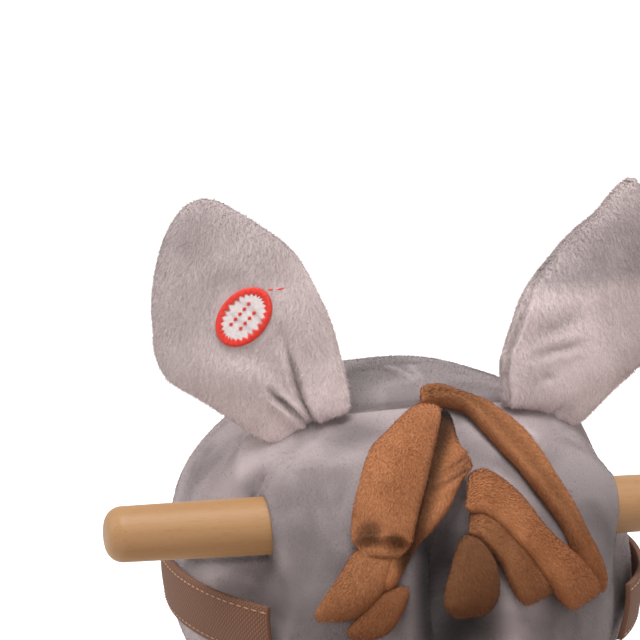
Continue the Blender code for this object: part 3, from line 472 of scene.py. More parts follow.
size, tone = (
    add(pile_tree, "FunctionNodeRandomValue", {
        2: least, 3: most, "Seed": given["Seed"],
    }, data_type="FLOAT").outputs[1]
    for least, most in ((0.6, 1.15), (0.0, 1.0))
)
toned = add(pile_tree, "GeometryNodeStoreNamedAttribute", {
    "Geometry": roots["Points"], "Name": "tone", "Value": tone,
}, data_type="FLOAT", domain="POINT").outputs[0]
tufts = add(pile_tree, "GeometryNodeInstanceOnPoints", {
    "Points": toned, "Instance": tuft, "Rotation": turn, "Scale": size,
}).outputs[0]
below = add(pile_tree, "ShaderNodeCombineXYZ", {"Z": maths(pile_tree, "MULTIPLY", given["Length"], -0.12)})
tufts = add(pile_tree, "GeometryNodeTranslateInstances", {
    "Instances": tufts, "Translation": below.outputs[0], "Local Space": True,
}).outputs[0]
real = add(pile_tree, "GeometryNodeRealizeInstances", {"Geometry": tufts}).outputs[0]
add(pile_tree, "NodeGroupOutput", {"Pile": real})


def comb(piece, direction):
    """Lays the pile of a piece along a direction, or along one that a function gives for each place."""
    places = mesh_values(piece.data)
    outward = mesh_values(piece.data, "normal")
    if callable(direction):
        wanted = direction(places)
    else:
        wanted = np.tile(np.array(direction, float), (len(places), 1))
    wanted = wanted - outward * (wanted * outward).sum(1)[:, None]
    piece.data.attributes.new("comb", "FLOAT_VECTOR", "POINT").data.foreach_set("vector", wanted.ravel())


def finished_mesh(piece):
    """A new mesh of a piece, with its modifiers worked out."""
    bpy.context.view_layer.update()
    return bpy.data.meshes.new_from_object(piece.evaluated_get(bpy.context.evaluated_depsgraph_get()))


def grow_pile(piece, look, seed, slot, material, body="animal", part="pile"):
    """Grows the pile of a piece, as a piece of its own. look says how many tufts stand on a square
    millimetre, how long and how wide they are, and how they rise, stray and swirl."""
    grower = put_in_scene("grower", piece.data)
    step = grower.modifiers.new("pile", "NODES")
    step.node_group = pile_tree
    per_mm2, length, width, rise, spread, swirl = look
    for name, value in (
        ("Tufts per m2", per_mm2 * 1e6), ("Length", length), ("Width", width), ("Rise", rise),
        ("Spread", spread), ("Swirl", swirl), ("Seed", seed),
    ):
        step[pile_socket[name]] = value
    mesh = finished_mesh(grower)
    bpy.data.objects.remove(grower)
    mesh.name = f"{piece.name}_{part}"
    mesh.materials.clear()
    pile = put_in_scene(mesh.name, mesh)
    if body:
        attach(pile, body)
    dress(pile, slot, material)
    return pile


head = stuffed_ball("stuffed_head", head_middle, head_half, 7)
dress(head, "grey_plush", plush_material("grey velvet plush", GREY_LIGHT, GREY_DARK, 34, 0.7), "head")
grey_tufts = tuft_material("grey velvet tufts", GREY_LIGHT, GREY_DARK, 34, 0.7, 0.94)

# Seams of the head: from ear to ear over the crown, with painted shade in its bottom, and down the middle of
# the back.
CROWN_SEAM = (
    (74, 41), (70.3, 29.3), (69.2, 19.5), (68.4, 13), (68, 7), (67.9, 1), (68.4, -10), (69.5, -21), (71, -31),
    (74, -42),
)
press_line(head, [on_head(up, left) for up, left in CROWN_SEAM], (0.0013, 0.0014, 0.0013), 0.0014, 0.5)
back_seam = [on_head(up, 0) for up in (62, 45, 30, 15, 0, -20, -40)]
press_line(head, back_seam, (0.002, 0.003, 0.006, 0.010, 0.010), 0.010, 0.2, seam=0)
# A hollow down the back between the strips, with painted shade in its bottom.
hollow = [on_head(up, left) for up, left in ((37, 2.0), (30, 3.5), (22, 4.5), (12, 5.5), (0, 5.5))]
press_line(head, hollow, (0.003, 0.012, 0.024, 0.026, 0.014), 0.0085, 0.1)
# The cloth is fuller round each ear's root: angles up and outwards, and how much.
ROOT_SWELLS = ((75, 45, 0.0036), (72, 35, 0.0050), (70, 27, 0.0050))
ROOT_SWELL_RADIUS = 0.011
for side in (1, -1):
    for up, out, amount in ROOT_SWELLS:
        swell(head, on_head(up, side * out), ROOT_SWELL_RADIUS, amount)
# Two small puckers run from the crown seam towards the front, where the panel is gathered.
PUCKERS = (
    ((121, 1, 518), (133, 0, 520), (147, -0.4, 520.6), (158, 2.1, 521), (168, 5.4, 521)),
    ((128, -3, 519), (139, -2.7, 520), (151, -4, 520.8), (164, -5, 521)),
)
puckers = [[Vector(point) * MM for point in line] for line in PUCKERS]
for pucker in puckers:
    press_line(head, pucker, (-0.0004, -0.0011, -0.0009, 0), 0.0015, 0.5, seam=0)
# The cloth is drawn in round the handle bar, with a soft dip above it. Each swell: its place ahead
# of the hole, outwards and up, its radius and how far it comes out.
HOLE_OUT = 0.076
HOLE_SWELLS = (
    ((-0.012, -0.010, 0.025), 0.036, 0.0115), ((0, 0.010, -0.030), 0.030, -0.0080),
    ((0.110, 0.010, 0.012), 0.040, 0.0036),
)
CUFF_OUT = 0.0764
CUFF_LEAN = 0.09
CUFF_RADIUS = 0.0135
CUFF_FADE = 0.010
EASED_RING = (0.0150, 0.036)
EASING_ROUNDS = 36
for side in (1, -1):
    hole = Vector((handle_middle.x, side * HOLE_OUT, handle_middle.z))
    for (ahead, out, up), radius, amount in HOLE_SWELLS:
        swell(head, hole + Vector((ahead, side * out, up)), radius, amount, (0, side, 0))
    places = mesh_values(head.data)
    from_bar = np.hypot(places[:, 0] - hole.x, places[:, 2] - hole.z)
    drawn = fade(np.clip(from_bar - CUFF_RADIUS, 0, None), CUFF_FADE) * (places[:, 1] * side > 0)
    cuff = side * (CUFF_OUT + CUFF_LEAN * (places[:, 2] - hole.z))
    places[:, 1] += (cuff - places[:, 1]) * drawn
    move_to(head, places)
    bm = bmesh.new()
    bm.from_mesh(head.data)
    round_hole = [
        vert for vert in bm.verts
        if vert.co.y * side > 0.03
        and EASED_RING[0] < math.hypot(vert.co.x - hole.x, vert.co.z - hole.z) < EASED_RING[1]
    ]
    for _ in range(EASING_ROUNDS):
        bmesh.ops.smooth_vert(
            bm, verts=round_hole, factor=0.5, use_axis_x=True, use_axis_y=True, use_axis_z=True,
        )
    bm.to_mesh(head.data)
    bm.free()
    swell(head, hole + Vector((0.018, side * 0.001, 0.016)), 0.0060, -0.0045)
swell(head, on_head(97, 6), 0.045, -0.0022)
ripple(head, (0.11, 0.05), (0.0012, 0.0005), 3)
# Painted shade ahead of the crown seam, where the front panel's pile lies forwards and the left ear's shadow
# falls on it, with painted light round the puckers.
PUCKER_LIGHT = (0.131, 0.009, 0.518)
BESIDE_BAR = (0.082, 0.0745, 0.458)
places = mesh_values(head.data)
unit = (places - np.array(head_middle)) / np.array(head_half)
leftward = np.degrees(np.arcsin(np.clip(unit[:, 1], -1, 1)))
upward = np.degrees(np.arctan2(unit[:, 2], -unit[:, 0]))
seam_up, seam_left = zip(*reversed(CROWN_SEAM))
ahead_of_seam = np.clip((upward - np.interp(leftward, seam_left, seam_up) + 0.8) / 1.6, 0, 1)
fading = np.clip((150 - upward) / 60, 0, 1)
near_middle = np.clip((43 - abs(leftward)) / 5, 0, 1)
on_pucker = fade(np.minimum(*(near_line(places, pucker)[0] for pucker in puckers)), 0.0020)
front_panel_shade = (0.54 + 0.0110 * np.clip(leftward, -20, 20)) * (1 - 0.62 * fade(gap_to(places, PUCKER_LIGHT), 0.0145))
shade_plush(head, front_panel_shade * (1 - 0.5 * on_pucker) * ahead_of_seam * fading * near_middle)
# Painted shade over the back of the head, darker lower down where less light falls, and painted light beside
# the bar's hole.
low_head_shade = np.interp(upward, (-60, 5, 30, 45, 58, 66), (0.25, 0.53, 0.54, 0.35, 0.16, 0.04))
low_head_shade *= np.clip((75 - abs(leftward)) / 30, 0, 1) * np.clip(abs(leftward + 6) / 14, 0, 1)
shade_plush(head, low_head_shade * (1 - 0.6 * fade(gap_to(places, BESIDE_BAR), 0.008)))
# Painted shade: darker spots, with their radius and strength, beside and under the strips, in the dip above
# the bar and on the left side; then painted shadows beside the strips and under the bar.
for spot, reach, amount in (
    (on_head(59, 22), 0.016, 0.45), (on_head(64, -0.5), 0.0048, 0.92), (on_head(62, -5), 0.0055, 0.55),
    ((0.1190, 0.0778, 0.4812), 0.0088, 0.60), ((0.1160, 0.0790, 0.4795), 0.0052, 0.74),
    ((0.1750, 0.0928, 0.4727), 0.0160, 0.17),
):
    shade_plush(head, amount * fade(gap_to(places, spot), reach))
BESIDE_STRIPS = ((104, -5, 508.5), (84, -9.3, 499.3), (77, -22, 495), (72, -30, 488))
gap = near_line(places, [Vector(point) * MM for point in BESIDE_STRIPS])[0]
shade_plush(head, 0.34 * fade(gap, 0.0085))
UNDER_BAR = (
    (100, 74, 455.5), (103, 76.2, 454.8), (113, 82.7, 452), (122.7, 90.6, 449.6), (134, 96.4, 446.8),
    (150, 101, 444),
)
gap, along = near_line(places, [Vector(point) * MM for point in UNDER_BAR])
shade_plush(head, 0.80 * fade(gap, 0.0030))
shade_plush(head, np.interp(along, (0.3, 0.8), (0.36, 0.62)) * fade(gap, 0.0065))
# Painted shade in the hollow between the strips, darkest low down.
gap, along = near_line(places, hollow)
shade_plush(head, np.interp(along, (0, 0.2, 0.45), (0.0, 0.6, 0.993)) * fade(gap, 0.021, 4))
# Painted light where the pile should look lit: below the left ear, and below the right ear beside the first
# right strip.
for spot, reach, amount in (((0.150, 0.080, 0.491), 0.021, 0.36), ((0.104, -0.044, 0.506), 0.0125, 0.36)):
    paint_light(head, amount * fade(gap_to(places, spot), reach))


VELVET_PILE = (0.6, 0.0012, 0.00026, 0.36, 0.35, 0.7)


def head_comb(places):
    """The pile is stroked down and back over the dome."""
    away = places - np.array(head_middle)
    return np.column_stack((-0.6 + 0 * away[:, 0], 0.4 * away[:, 1] / head_half.y, -0.8 + 0 * away[:, 2]))


comb(head, head_comb)
# The pile is two pieces, rear and front, so that neither is too large a mesh.
behind = places[:, 0] <= head_middle.x
for part, elsewhere in (("rear_pile", ~behind), ("front_pile", behind)):
    paint(head, "bald", lambda _: elsewhere.astype(float))
    grow_pile(head, VELVET_PILE, 11, "grey_plush", grey_tufts, part=part)


# Ears: two panels of longer pinkish grey pile, sewn round the edge, turned and stuffed, then
# gathered at the base and sewn to the dome. The left one holds the sound unit behind its badge.
EAR_BEHIND_HEAD_MIDDLE = 0.0433
EAR_SPREAD = 0.053
EAR_LIFT = 0.0042
EAR_TURN = math.radians(24.6)
EAR_LIGHT = (0.87, 0.738, 0.727, 1)
EAR_DARK = (0.65, 0.538, 0.528, 1)
EAR_PILE = (2.5, 0.0020, 0.0003, 0.60, 0.5, 1.5)
# Rows up the ear, in millimetres: height, reach to the inner edge, reach to the outer edge, half
# thickness. The right ear is fuller low on its inner edge.
EAR_ROWS = (
    (-8.5, -2, 12, 3), (-4.5, 0, 22, 4.5), (1.5, 4.5, 33, 6.5), (4.5, 11.5, 38.6, 7.7),
    (7.5, 17.4, 43.8, 8.8), (13, 17.2, 52.8, 10.8), (18, 16.2, 61.3, 12.2), (25, 15, 66.2, 13),
    (32, 13.4, 68.2, 13), (40, 11.6, 68, 12.7),
    (50, 8.2, 68, 12.3), (60, 3.6, 67.2, 11.8), (68, -0.6, 65.7, 11.2), (74, -4.5, 64.2, 10.5),
    (80, -10.5, 62, 9.5), (86, -18.5, 59, 8.2), (91, -26, 55.7, 6.5), (95, -33, 51.8, 4.6),
    (97.7, -40, 46.5, 2.4),
)
RIGHT_EAR_FULLER = (
    (-9, 0), (1.5, 0), (7.5, 5), (18, 7), (25, 9.2), (32, 10), (40, 10), (48, 9), (56, 5.5), (64, -0.5),
    (74, -7.5), (84, -10.5), (98, -11),
)


def catmull_rows(rows, steps):
    """Smooth values through rows of numbers, with some steps between two rows."""
    rows = [Vector(row) for row in rows]
    rows = [2 * rows[0] - rows[1], *rows, 2 * rows[-1] - rows[-2]]
    found = []
    for a, b, c, d in zip(rows, rows[1:], rows[2:], rows[3:]):
        for step in range(steps):
            t = step / steps
            found.append(0.5 * (
                2 * b + (c - a) * t + (2 * a - 5 * b + 4 * c - d) * t**2 + (3 * b - a - 3 * c + d) * t**3
            ))
    return [*found, rows[-2]]


def add_ring(bm, middle, across, up, count, blunt=2.0):
    """A ring of points with half axes across and up. A higher blunt makes it squarer."""
    ring = bmesh.ops.create_circle(bm, segments=count, radius=1)["verts"]
    for vert in ring:
        x, y = vert.co.x, vert.co.y
        grow = (abs(x) ** blunt + abs(y) ** blunt) ** (-1 / blunt)
        vert.co = middle + across * x * grow + up * y * grow
    return ring


def skin_rings(bm, rings):
    """Joins each ring to the next with faces, and closes both ends."""
    loops = []
    for ring in rings:
        held = set(ring)
        beside = {edge for vert in ring for edge in vert.link_edges}
        loops.append([edge for edge in beside if held.issuperset(edge.verts)])
    for low, high in zip(loops, loops[1:]):
        bmesh.ops.bridge_loops(bm, edges=low + high)
    bm.faces.new(rings[0])
    bm.faces.new(rings[-1])
    bmesh.ops.recalc_face_normals(bm, faces=bm.faces)


def stack_rings(bm, rows, count):
    """Skins a stack of level rings: each row has the middle of one and its half sizes along X and Y."""
    skin_rings(bm, [
        add_ring(bm, middle, Vector((long, 0, 0)), Vector((0, wide, 0)), count) for middle, long, wide in rows
    ])


def ear_place(side):
    """Places the ear's own axes: X to its outer edge, Y up, Z out of its rear face."""
    outward = Vector((math.sin(EAR_TURN), side * math.cos(EAR_TURN), 0))
    rear = Vector((-math.cos(EAR_TURN), side * math.sin(EAR_TURN), 0))
    share = 1 - (EAR_BEHIND_HEAD_MIDDLE / head_half.x) ** 2 - (EAR_SPREAD / head_half.y) ** 2
    base = head_middle + Vector((
        -EAR_BEHIND_HEAD_MIDDLE, side * EAR_SPREAD, head_half.z * math.sqrt(share) + EAR_LIFT,
    ))
    return Matrix.Translation(base) @ Matrix((outward, Vector((0, 0, 1)), rear)).transposed().to_4x4()


ear_plush = plush_material("pinkish ear plush", EAR_LIGHT, EAR_DARK, 26, 0.6, 900, 0.5)
ear_tufts = tuft_material("pinkish ear tufts", EAR_LIGHT, EAR_DARK, 26, 0.6)
# Folds on the rear face: places in millimetres across and up, the depths along the way, the width
# and how dark the painted shade in the bottom of the fold is. The right ear's first one is the seam inside
# its rim.
EAR_FOLDS = {
    "left": (
        (((10, 50), (7.5, 38), (5, 30), (2.4, 20), (0.4, 12), (-2.6, 5), (-5, -2)),
         (0, 0.8, 1.8, 2.4, 2.4, 1.6), 1.35, 1),
        (((14, 18), (12, 14.5), (8, 11.5), (3.5, 7.5), (-0.5, 2.5), (-3, -2)),
         (0.8, 2.2, 2.2, 1.8, 1.2), 1.2, 1),
        (((20, 36), (16, 31), (14, 27)), (0.4, 1.2, 0.4), 3.2, 0),
        (((26, 16), (22, 8), (21, 0)), (0, 0.5, 0.5), 3.5, 0),
    ),
    "right": (
        (((8, 72), (0, 65), (-9.7, 57), (-15.3, 47.4), (-19.7, 37.5), (-22.6, 31), (-23, 20), (-21.9, 9.6),
          (-21, 2)),
         (0, 0.4, 0.6, 0.8, 0.9, 0.9, 0.9), 0.75, 0.7),
        (((-14, 28), (-6, 30), (2, 31), (12, 32)), (0.1, 0.9, 0.9, 0.2), 1.7, 0.35),
        (((-13, 18), (-7, 18.8), (-1, 18.3)), (0.1, 0.6, 0.1), 1.6, 0.35),
        (((-17, 35), (-8, 39), (4, 43), (16, 45)), (0.0, 0.5, 0.5, 0.0), 3.6, 0.45),
        (((-0.5, -3), (1.5, 2), (4, 5)), (2.2, 1.2, 0), 1.3, 1),
    ),
}
# Painted shade on the ears, by millimetres up the ear and across it: both ears darker higher up, the left one
# darker towards its outer edge and less dark towards its inner edge, and the right one darker on its rim
# beyond the seam.
LEFT_EAR_SHADE_UP = ((10, 0), (22, 0.14), (90, 0.275))
LEFT_EAR_SHADE_ACROSS = ((-15, -0.11), (12, 0), (60, 0.12))
RIGHT_EAR_SHADE_UP = ((51, 0), (60, 0.38), (78, 0.40), (98, 0.28))
RIM_SHADE = 0.3
RIM_SHADE_FADE = 0.6
BADGE_ACROSS = 0.0257
BADGE_UP = 0.0493
BADGE_BED = 0.0102
BED_REACH = 0.030
BED_FADE = 0.014
BALD_RADIUS = 0.0125


def on_ramp(values, ramp):
    """Values between the pairs of a ramp."""
    return np.interp(values, *zip(*ramp))


for name, side in SIDES:
    rows = [
        (height, inner + (on_ramp(height, RIGHT_EAR_FULLER) if name == "right" else 0), outer, half_thick)
        for height, inner, outer, half_thick in EAR_ROWS
    ]
    bm = bmesh.new()
    skin_rings(bm, [
        add_ring(
            bm, Vector(((outer - inner) / 2, height, 0)) * MM, Vector(((outer + inner) / 2, 0, 0)) * MM,
            Vector((0, 0, half_thick)) * MM, 120, 1.85,
        )
        for height, inner, outer, half_thick in catmull_rows(rows, 5)
    ])
    axes = ear_place(side)
    bmesh.ops.transform(bm, matrix=axes, verts=bm.verts)
    bmesh.ops.recalc_face_normals(bm, faces=bm.faces)
    body = None if name == "left" else "animal"
    ear = add_piece(f"stuffed_ear_{name}", bm, body)
    dress(ear, "ear_plush", ear_plush, f"ear_{name}")
    rear = axes.to_3x3() @ Vector((0, 0, 1))
    # Each fold is pressed in, with painted shade in its bottom as dark as its last number gives.
    for fold, depths, width, seam in EAR_FOLDS[name]:
        line = [axes @ Vector((across * MM, up * MM, 0)) for across, up in fold]
        press_line(ear, line, [depth * MM for depth in depths], width * MM, 0.6, rear, seam)
    ripple(ear, (0.06, 0.03), (0.0012, 0.0006), 20 + side)
    inverse = np.array(axes.inverted())
    across, up, _ = (mesh_values(ear.data) @ inverse[:3, :3].T + inverse[:3, 3]).T / MM
    # Painted shade: the right ear darker high up and on its rim beyond the seam, the left one darker higher
    # up and towards its outer edge.
    if name == "right":
        seam_across, seam_up = zip(*reversed(EAR_FOLDS[name][0][0]))
        beyond_seam = np.clip((np.interp(up, seam_up, seam_across) - across) / RIM_SHADE_FADE, 0, 1)
        shade_plush(ear, on_ramp(up, RIGHT_EAR_SHADE_UP) + RIM_SHADE * beyond_seam)
    else:
        shade_plush(ear, np.maximum(on_ramp(up, LEFT_EAR_SHADE_UP) + on_ramp(across, LEFT_EAR_SHADE_ACROSS), 0))
        bed = axes @ Vector((BADGE_ACROSS, BADGE_UP, BADGE_BED))
        places = mesh_values(ear.data)
        away = (places - np.array(bed)) @ np.array(rear)
        beside = np.linalg.norm(places - np.array(bed) - np.outer(away, rear), axis=1)
        reach = np.clip((BED_REACH - beside) / BED_FADE, 0, 1)
        sink = np.where((away > 0) & (away < 0.02), away, 0) * reach * reach * (3 - 2 * reach)
        places -= np.outer(sink, rear)
        move_to(ear, places)
        paint(ear, "bald", lambda _: ((beside < BALD_RADIUS) & (away > -0.01)).astype(float))
    comb(ear, (0.0, 0.12 * side, -1))
    pile = grow_pile(ear, EAR_PILE, 30 + side, "ear_plush", ear_tufts, body)
    if name == "left":
        for cloth in (ear, pile):
            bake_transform(cloth)


# Badge: an embroidered oval patch over the sound unit's button. A padded red satin ring with a
# notched inner edge lies round a white satin field, which is bare but for two rows of small lozenges.
BADGE_LENGTH = 0.030
BADGE_WIDTH = 0.021
BADGE_TILT = math.radians(50)
BADGE_RED = (0.74, 0.030, 0.014, 1)
BADGE_WHITE = (0.82, 0.75, 0.74, 1)


def thread_material(name, colour):
    """Shiny embroidery thread, a little uneven."""
    material, tree, shader = new_material(name)
    uneven = ranged(tree, noise(tree, object_place(tree), 900.0, 2.0), 0.75, 1.2)
    feed(shader, {"Base Color": scaled(tree, colour[:3], uneven), "Roughness": 0.5, "Sheen Weight": 0.05})
    return material


def stitch_path(bm, points, outwards, width, height):
    """Lays one raised stitch, thick in the middle and thin at its ends, along a short row of points."""
    rings = []
    for i, (point, outward) in enumerate(zip(points, outwards)):
        before, after = points[max(i - 1, 0)], points[min(i + 1, len(points) - 1)]
        side = outward.cross((after - before).normalized()).normalized()
        share = abs(2 * i / (len(points) - 1) - 1)
        end = max(0.25, (1 - share**3) ** 0.5)
        rings.append(add_ring(bm, point, side * width / 2 * end, outward * height / 2 * end, 8))
    skin_rings(bm, rings)


def badge_point(along, aside, height):
    """A point over the badge, by distances along its long axis, across it and up from its back."""
    across = BADGE_ACROSS - along * math.cos(BADGE_TILT) + aside * math.sin(BADGE_TILT)
    up = BADGE_UP + along * math.sin(BADGE_TILT) + aside * math.cos(BADGE_TILT)
    return ear_place(1) @ Vector((across, up, BADGE_BED + height))


def badge_rim(turn_angle, inset):
    """Distances along and across for a point of the oval, moved inwards."""
    along, aside = math.cos(turn_angle) * BADGE_LENGTH / 2, math.sin(turn_angle) * BADGE_WIDTH / 2
    inward = Vector((-math.cos(turn_angle) / BADGE_LENGTH, -math.sin(turn_angle) / BADGE_WIDTH)).normalized()
    return along + inward.x * inset, aside + inward.y * inset


badge_out = (badge_point(0, 0, 1) - badge_point(0, 0, 0)).normalized()
white_thread = thread_material("white embroidery thread", BADGE_WHITE)
red_thread = thread_material("red embroidery thread", BADGE_RED)


def badge_stitch(bm, places, width, height):
    """A stitch through four places over the badge."""
    stitch_path(bm, [badge_point(*place) for place in places], [badge_out] * 4, width, height)


bm = bmesh.new()
patch_rings = []
for inset, height in ((0.0012, 0.0002), (0.0002, 0.0004), (0.0002, 0.0008), (0.0012, 0.0011)):
    ring = add_ring(bm, Vector((0, 0, 0)), Vector((1, 0, 0)), Vector((0, 1, 0)), 72)
    for vert in ring:
        vert.co = badge_point(*badge_rim(math.atan2(vert.co.y, vert.co.x), inset), height)
    patch_rings.append(ring)
skin_rings(bm, patch_rings)
badge = add_piece("badge_patch", bm, "sound_press")
dress(badge, "badge_embroidery", white_thread, "press_badge")
# The white field: rows of three stitches, each row shorter than the oval by the ring's cover.
THREAD = 0.00042
FIELD_INSET = 0.0022
SHORTEST_ROW = 0.002
STAGGER = 0.0012
bm = bmesh.new()
rows = int(BADGE_WIDTH * 0.86 / THREAD)
for row in range(rows):
    aside = (row + 0.5 - rows / 2) * THREAD
    reach = BADGE_LENGTH / 2 * math.sqrt(max(0, 1 - (2 * aside / BADGE_WIDTH) ** 2)) - FIELD_INSET
    if reach < SHORTEST_ROW:
        continue
    splits = [-reach, -reach * 0.35 + STAGGER * (row % 2), reach * 0.35 - STAGGER * (row % 2), reach]
    for start, end in zip(splits, splits[1:]):
        badge_stitch(bm, [
            (start + (end - start) * share, aside, 0.00112 + 0.00010 * math.sin(math.pi * share))
            for share in (0, 0.3, 0.7, 1)
        ], THREAD * 1.1, 0.0004)
field = add_piece("badge_white_field", bm, "sound_press")
dress(field, "badge_embroidery", white_thread)
# The red ring, with a tooth every eight stitches, and the two rows of lozenges.
STITCHES = 208
TEETH = 26
LOZENGE_SPACING = 0.0030
LOZENGE_LINES = 5
LINE_SPACING = 0.00036
bm = bmesh.new()
for i in range(STITCHES):
    turn_angle = math.tau * (i + 0.5) / STITCHES
    notch = abs((i * TEETH / STITCHES) % 1 * 2 - 1)
    inner = 0.0031 + 0.0017 * notch
    badge_stitch(bm, [
        (*badge_rim(turn_angle, inset), height)
        for inset, height in ((0.0, 0.0005), (0.0004, 0.00125), (inner * 0.5, 0.00150), (inner, 0.00118))
    ], 0.00044, 0.00036)
for aside, count in ((0.0021, 5), (-0.0022, 4)):
    for i in range(count):
        along = (i - (count - 1) / 2) * LOZENGE_SPACING
        for line in range(LOZENGE_LINES):
            from_middle = line - LOZENGE_LINES // 2
            half = 0.0011 - abs(from_middle) * 0.00030
            badge_stitch(bm, [
                (along + from_middle * LINE_SPACING, aside + half * share, 0.00140 + 0.0001 * (1 - share**2))
                for share in (-1, -0.4, 0.4, 1)
            ], 0.00036, 0.00034)
ring = add_piece("badge_red_stitches", bm, "sound_press")
dress(ring, "badge_embroidery", red_thread)
# Two tacking stitches beside the badge, in millimetres on the ear's own axes.
TACKING = (((14.9, 62.0), (12.5, 62.2)), ((11.0, 62.2), (7.6, 63.1)))
bm = bmesh.new()
for start, end in TACKING:
    points = []
    for share in (0, 0.33, 0.67, 1):
        spot = Vector(start).lerp(Vector(end), share)
        points.append(ear_place(1) @ (Vector((spot.x, spot.y, 12.6 + 0.5 * math.sin(math.pi * share))) * MM))
    stitch_path(bm, points, [badge_out] * 4, 0.0009, 0.0009)
tack = add_piece("badge_tacking_stitches", bm, "sound_press")
dress(tack, "badge_embroidery", red_thread)


# Mane: stuffed strips of short brown plush, sewn by one end along the crest in pairs and left to
# fall to either side over the dome and the neck.
BROWN_LIGHT = (0.53, 0.225, 0.10, 1)
BROWN_DARK = (0.27, 0.095, 0.036, 1)
# Each strip on the head: rows of its two edges, each as angles up and left from the middle of the
# back and a lift off the cloth in millimetres, then its thickness.
HEAD_STRIPS = {
    "mane_left_1": ((
        (63.4, 3.2, 5, 61.5, -0.5, 5), (60.4, 8.5, 5, 56.1, 1, 7), (55.6, 13.9, 5, 50.9, 3.4, 9),
        (51.4, 18.1, 5.5, 44.9, 6.4, 10.5), (44.6, 21.8, 6, 39.6, 8.6, 11.5), (36.9, 24.7, 7, 33.6, 11, 12),
        (30.1, 26.6, 8, 27.5, 13, 12), (25.5, 27.2, 8.5, 23.3, 14, 11.5), (21.1, 26.6, 8, 19.9, 15.1, 10),
    ), 9),
    "mane_right_1": ((
        (69.3, 1.9, 5, 65.3, 2.8, 3.5), (69.5, -0, 5, 65.4, 0.6, 3.5), (68.5, -3.7, 5.5, 65.1, -2.1, 3.5),
        (65.8, -6.9, 6, 63.8, -4.4, 4), (63.4, -9.7, 6.5, 61.9, -6.7, 4), (60.2, -12.7, 7, 57.5, -8.4, 4.5),
        (56.2, -15.7, 7.5, 52.7, -10.5, 4.5), (51.3, -18.7, 8, 47.7, -12.5, 5),
        (46.1, -20.9, 8, 43.1, -15, 5),
        (40.8, -22.5, 8, 38.7, -17.3, 5), (33.4, -25.3, 8, 33, -20.4, 5), (25.1, -28.5, 8, 26.7, -24.4, 5),
        (16, -31.4, 8, 18.7, -27.5, 5), (6.7, -34.2, 7, 9.9, -29.5, 4.5),
    ), 10),
    "mane_left_2": ((
        (61.1, -0.1, 3, 59.7, -1.9, 4), (56.5, 2, 3, 55.7, -1.7, 4.5), (51.4, 3.9, 4, 49.8, -1.4, 6),
        (46.8, 6.4, 4.5, 45.1, -2.2, 7), (42.4, 9.2, 5, 42.2, -2.2, 7.5), (38, 12.1, 4.5, 38.3, 0.9, 7),
        (33.6, 14.9, 4, 33.3, 4, 6), (29.2, 17.9, 4, 27.7, 9, 6), (25.2, 20.8, 4, 24.2, 12.7, 6),
        (21.1, 23.5, 4.5, 19.4, 15.7, 6), (16.8, 25.8, 5, 15.4, 17.9, 6.5), (12.4, 27.5, 5, 11.3, 20, 6),
    ), 8),
    "mane_right_2": ((
        (41.4, -2.1, 6, 31.5, 0.8, 7.5), (41.8, -3.4, 6, 30.7, -0.4, 8.5), (41.4, -5.8, 6.5, 30.2, -2.4, 9.5),
        (38.9, -8.7, 7, 28.5, -4.5, 10), (35.6, -11.7, 7, 26.3, -6.5, 10), (31.6, -14.4, 7, 23.3, -8.6, 10),
        (27.2, -16.8, 7, 20.3, -10.8, 10), (22.7, -20.2, 7, 17, -13.1, 10), (18.3, -24.6, 7, 12.6, -15.7, 10),
        (13.2, -29, 7, 8.2, -18.9, 9), (7.2, -33, 6.5, 3.3, -22.5, 8),
    ), 10),
    "mane_left_3": ((
        (24.8, 25.1, 4, 24.9, 15.7, 4), (22.2, 27.5, 5, 20.8, 17.1, 5), (19.2, 29.3, 6, 17.2, 18.7, 6),
        (16.2, 31, 6.5, 13.9, 20.4, 6.5), (12.2, 33.2, 7, 10.3, 22.5, 7), (7.6, 35.6, 7, 6.5, 25.3, 7),
        (2, 38.3, 6, 2.7, 28.5, 6),
    ), 10),
    "mane_right_3": ((
        (31.8, -0.1, 4, 25.3, 1.4, 6), (31.9, -1.4, 4.5, 24.6, 0.3, 7), (31.1, -3.7, 5.5, 24, -1, 8),
        (28.8, -6.5, 6, 21.9, -2.5, 8.5), (25.7, -8.9, 6, 19.4, -4, 8.5), (22, -11.4, 6, 16.6, -5.4, 8.5),
        (18.3, -14, 6, 13.4, -6.5, 8.5), (14, -16.7, 6, 9.8, -8.2, 8), (9.6, -19, 5.5, 6.1, -10.3, 7),
    ), 9),
    "mane_left_4": ((
        (12.3, 21.3, 4, 13.2, 15.1, 4), (9.4, 23.6, 5, 9.9, 16.1, 5), (6, 26.1, 5.5, 6.2, 17.6, 5.5),
        (2.1, 28.6, 6, 2.2, 19.6, 6), (-2, 30.9, 5, -1.5, 22.5, 5),
    ), 9),
    "mane_right_4": ((
        (24.7, 2.6, 5, 25.2, 1.4, 5), (22.5, 3.9, 6, 23.4, -1, 6), (19.1, 5.3, 7, 20.3, -2.7, 7),
        (15.5, 6.5, 7.5, 16.8, -3.9, 7.5), (11.7, 7.6, 7.5, 12.8, -4.5, 7.5), (8, 8.2, 7, 8.9, -4.1, 7),
        (4.3, 7.8, 6, 5, -2.8, 6),
    ), 10),
}
brown_plush = plush_material("brown strip plush", BROWN_LIGHT, BROWN_DARK, 30, 0.42, 1000, 0.55)
brown_tufts = tuft_material("brown strip tufts", BROWN_LIGHT, BROWN_DARK, 30, 0.5)


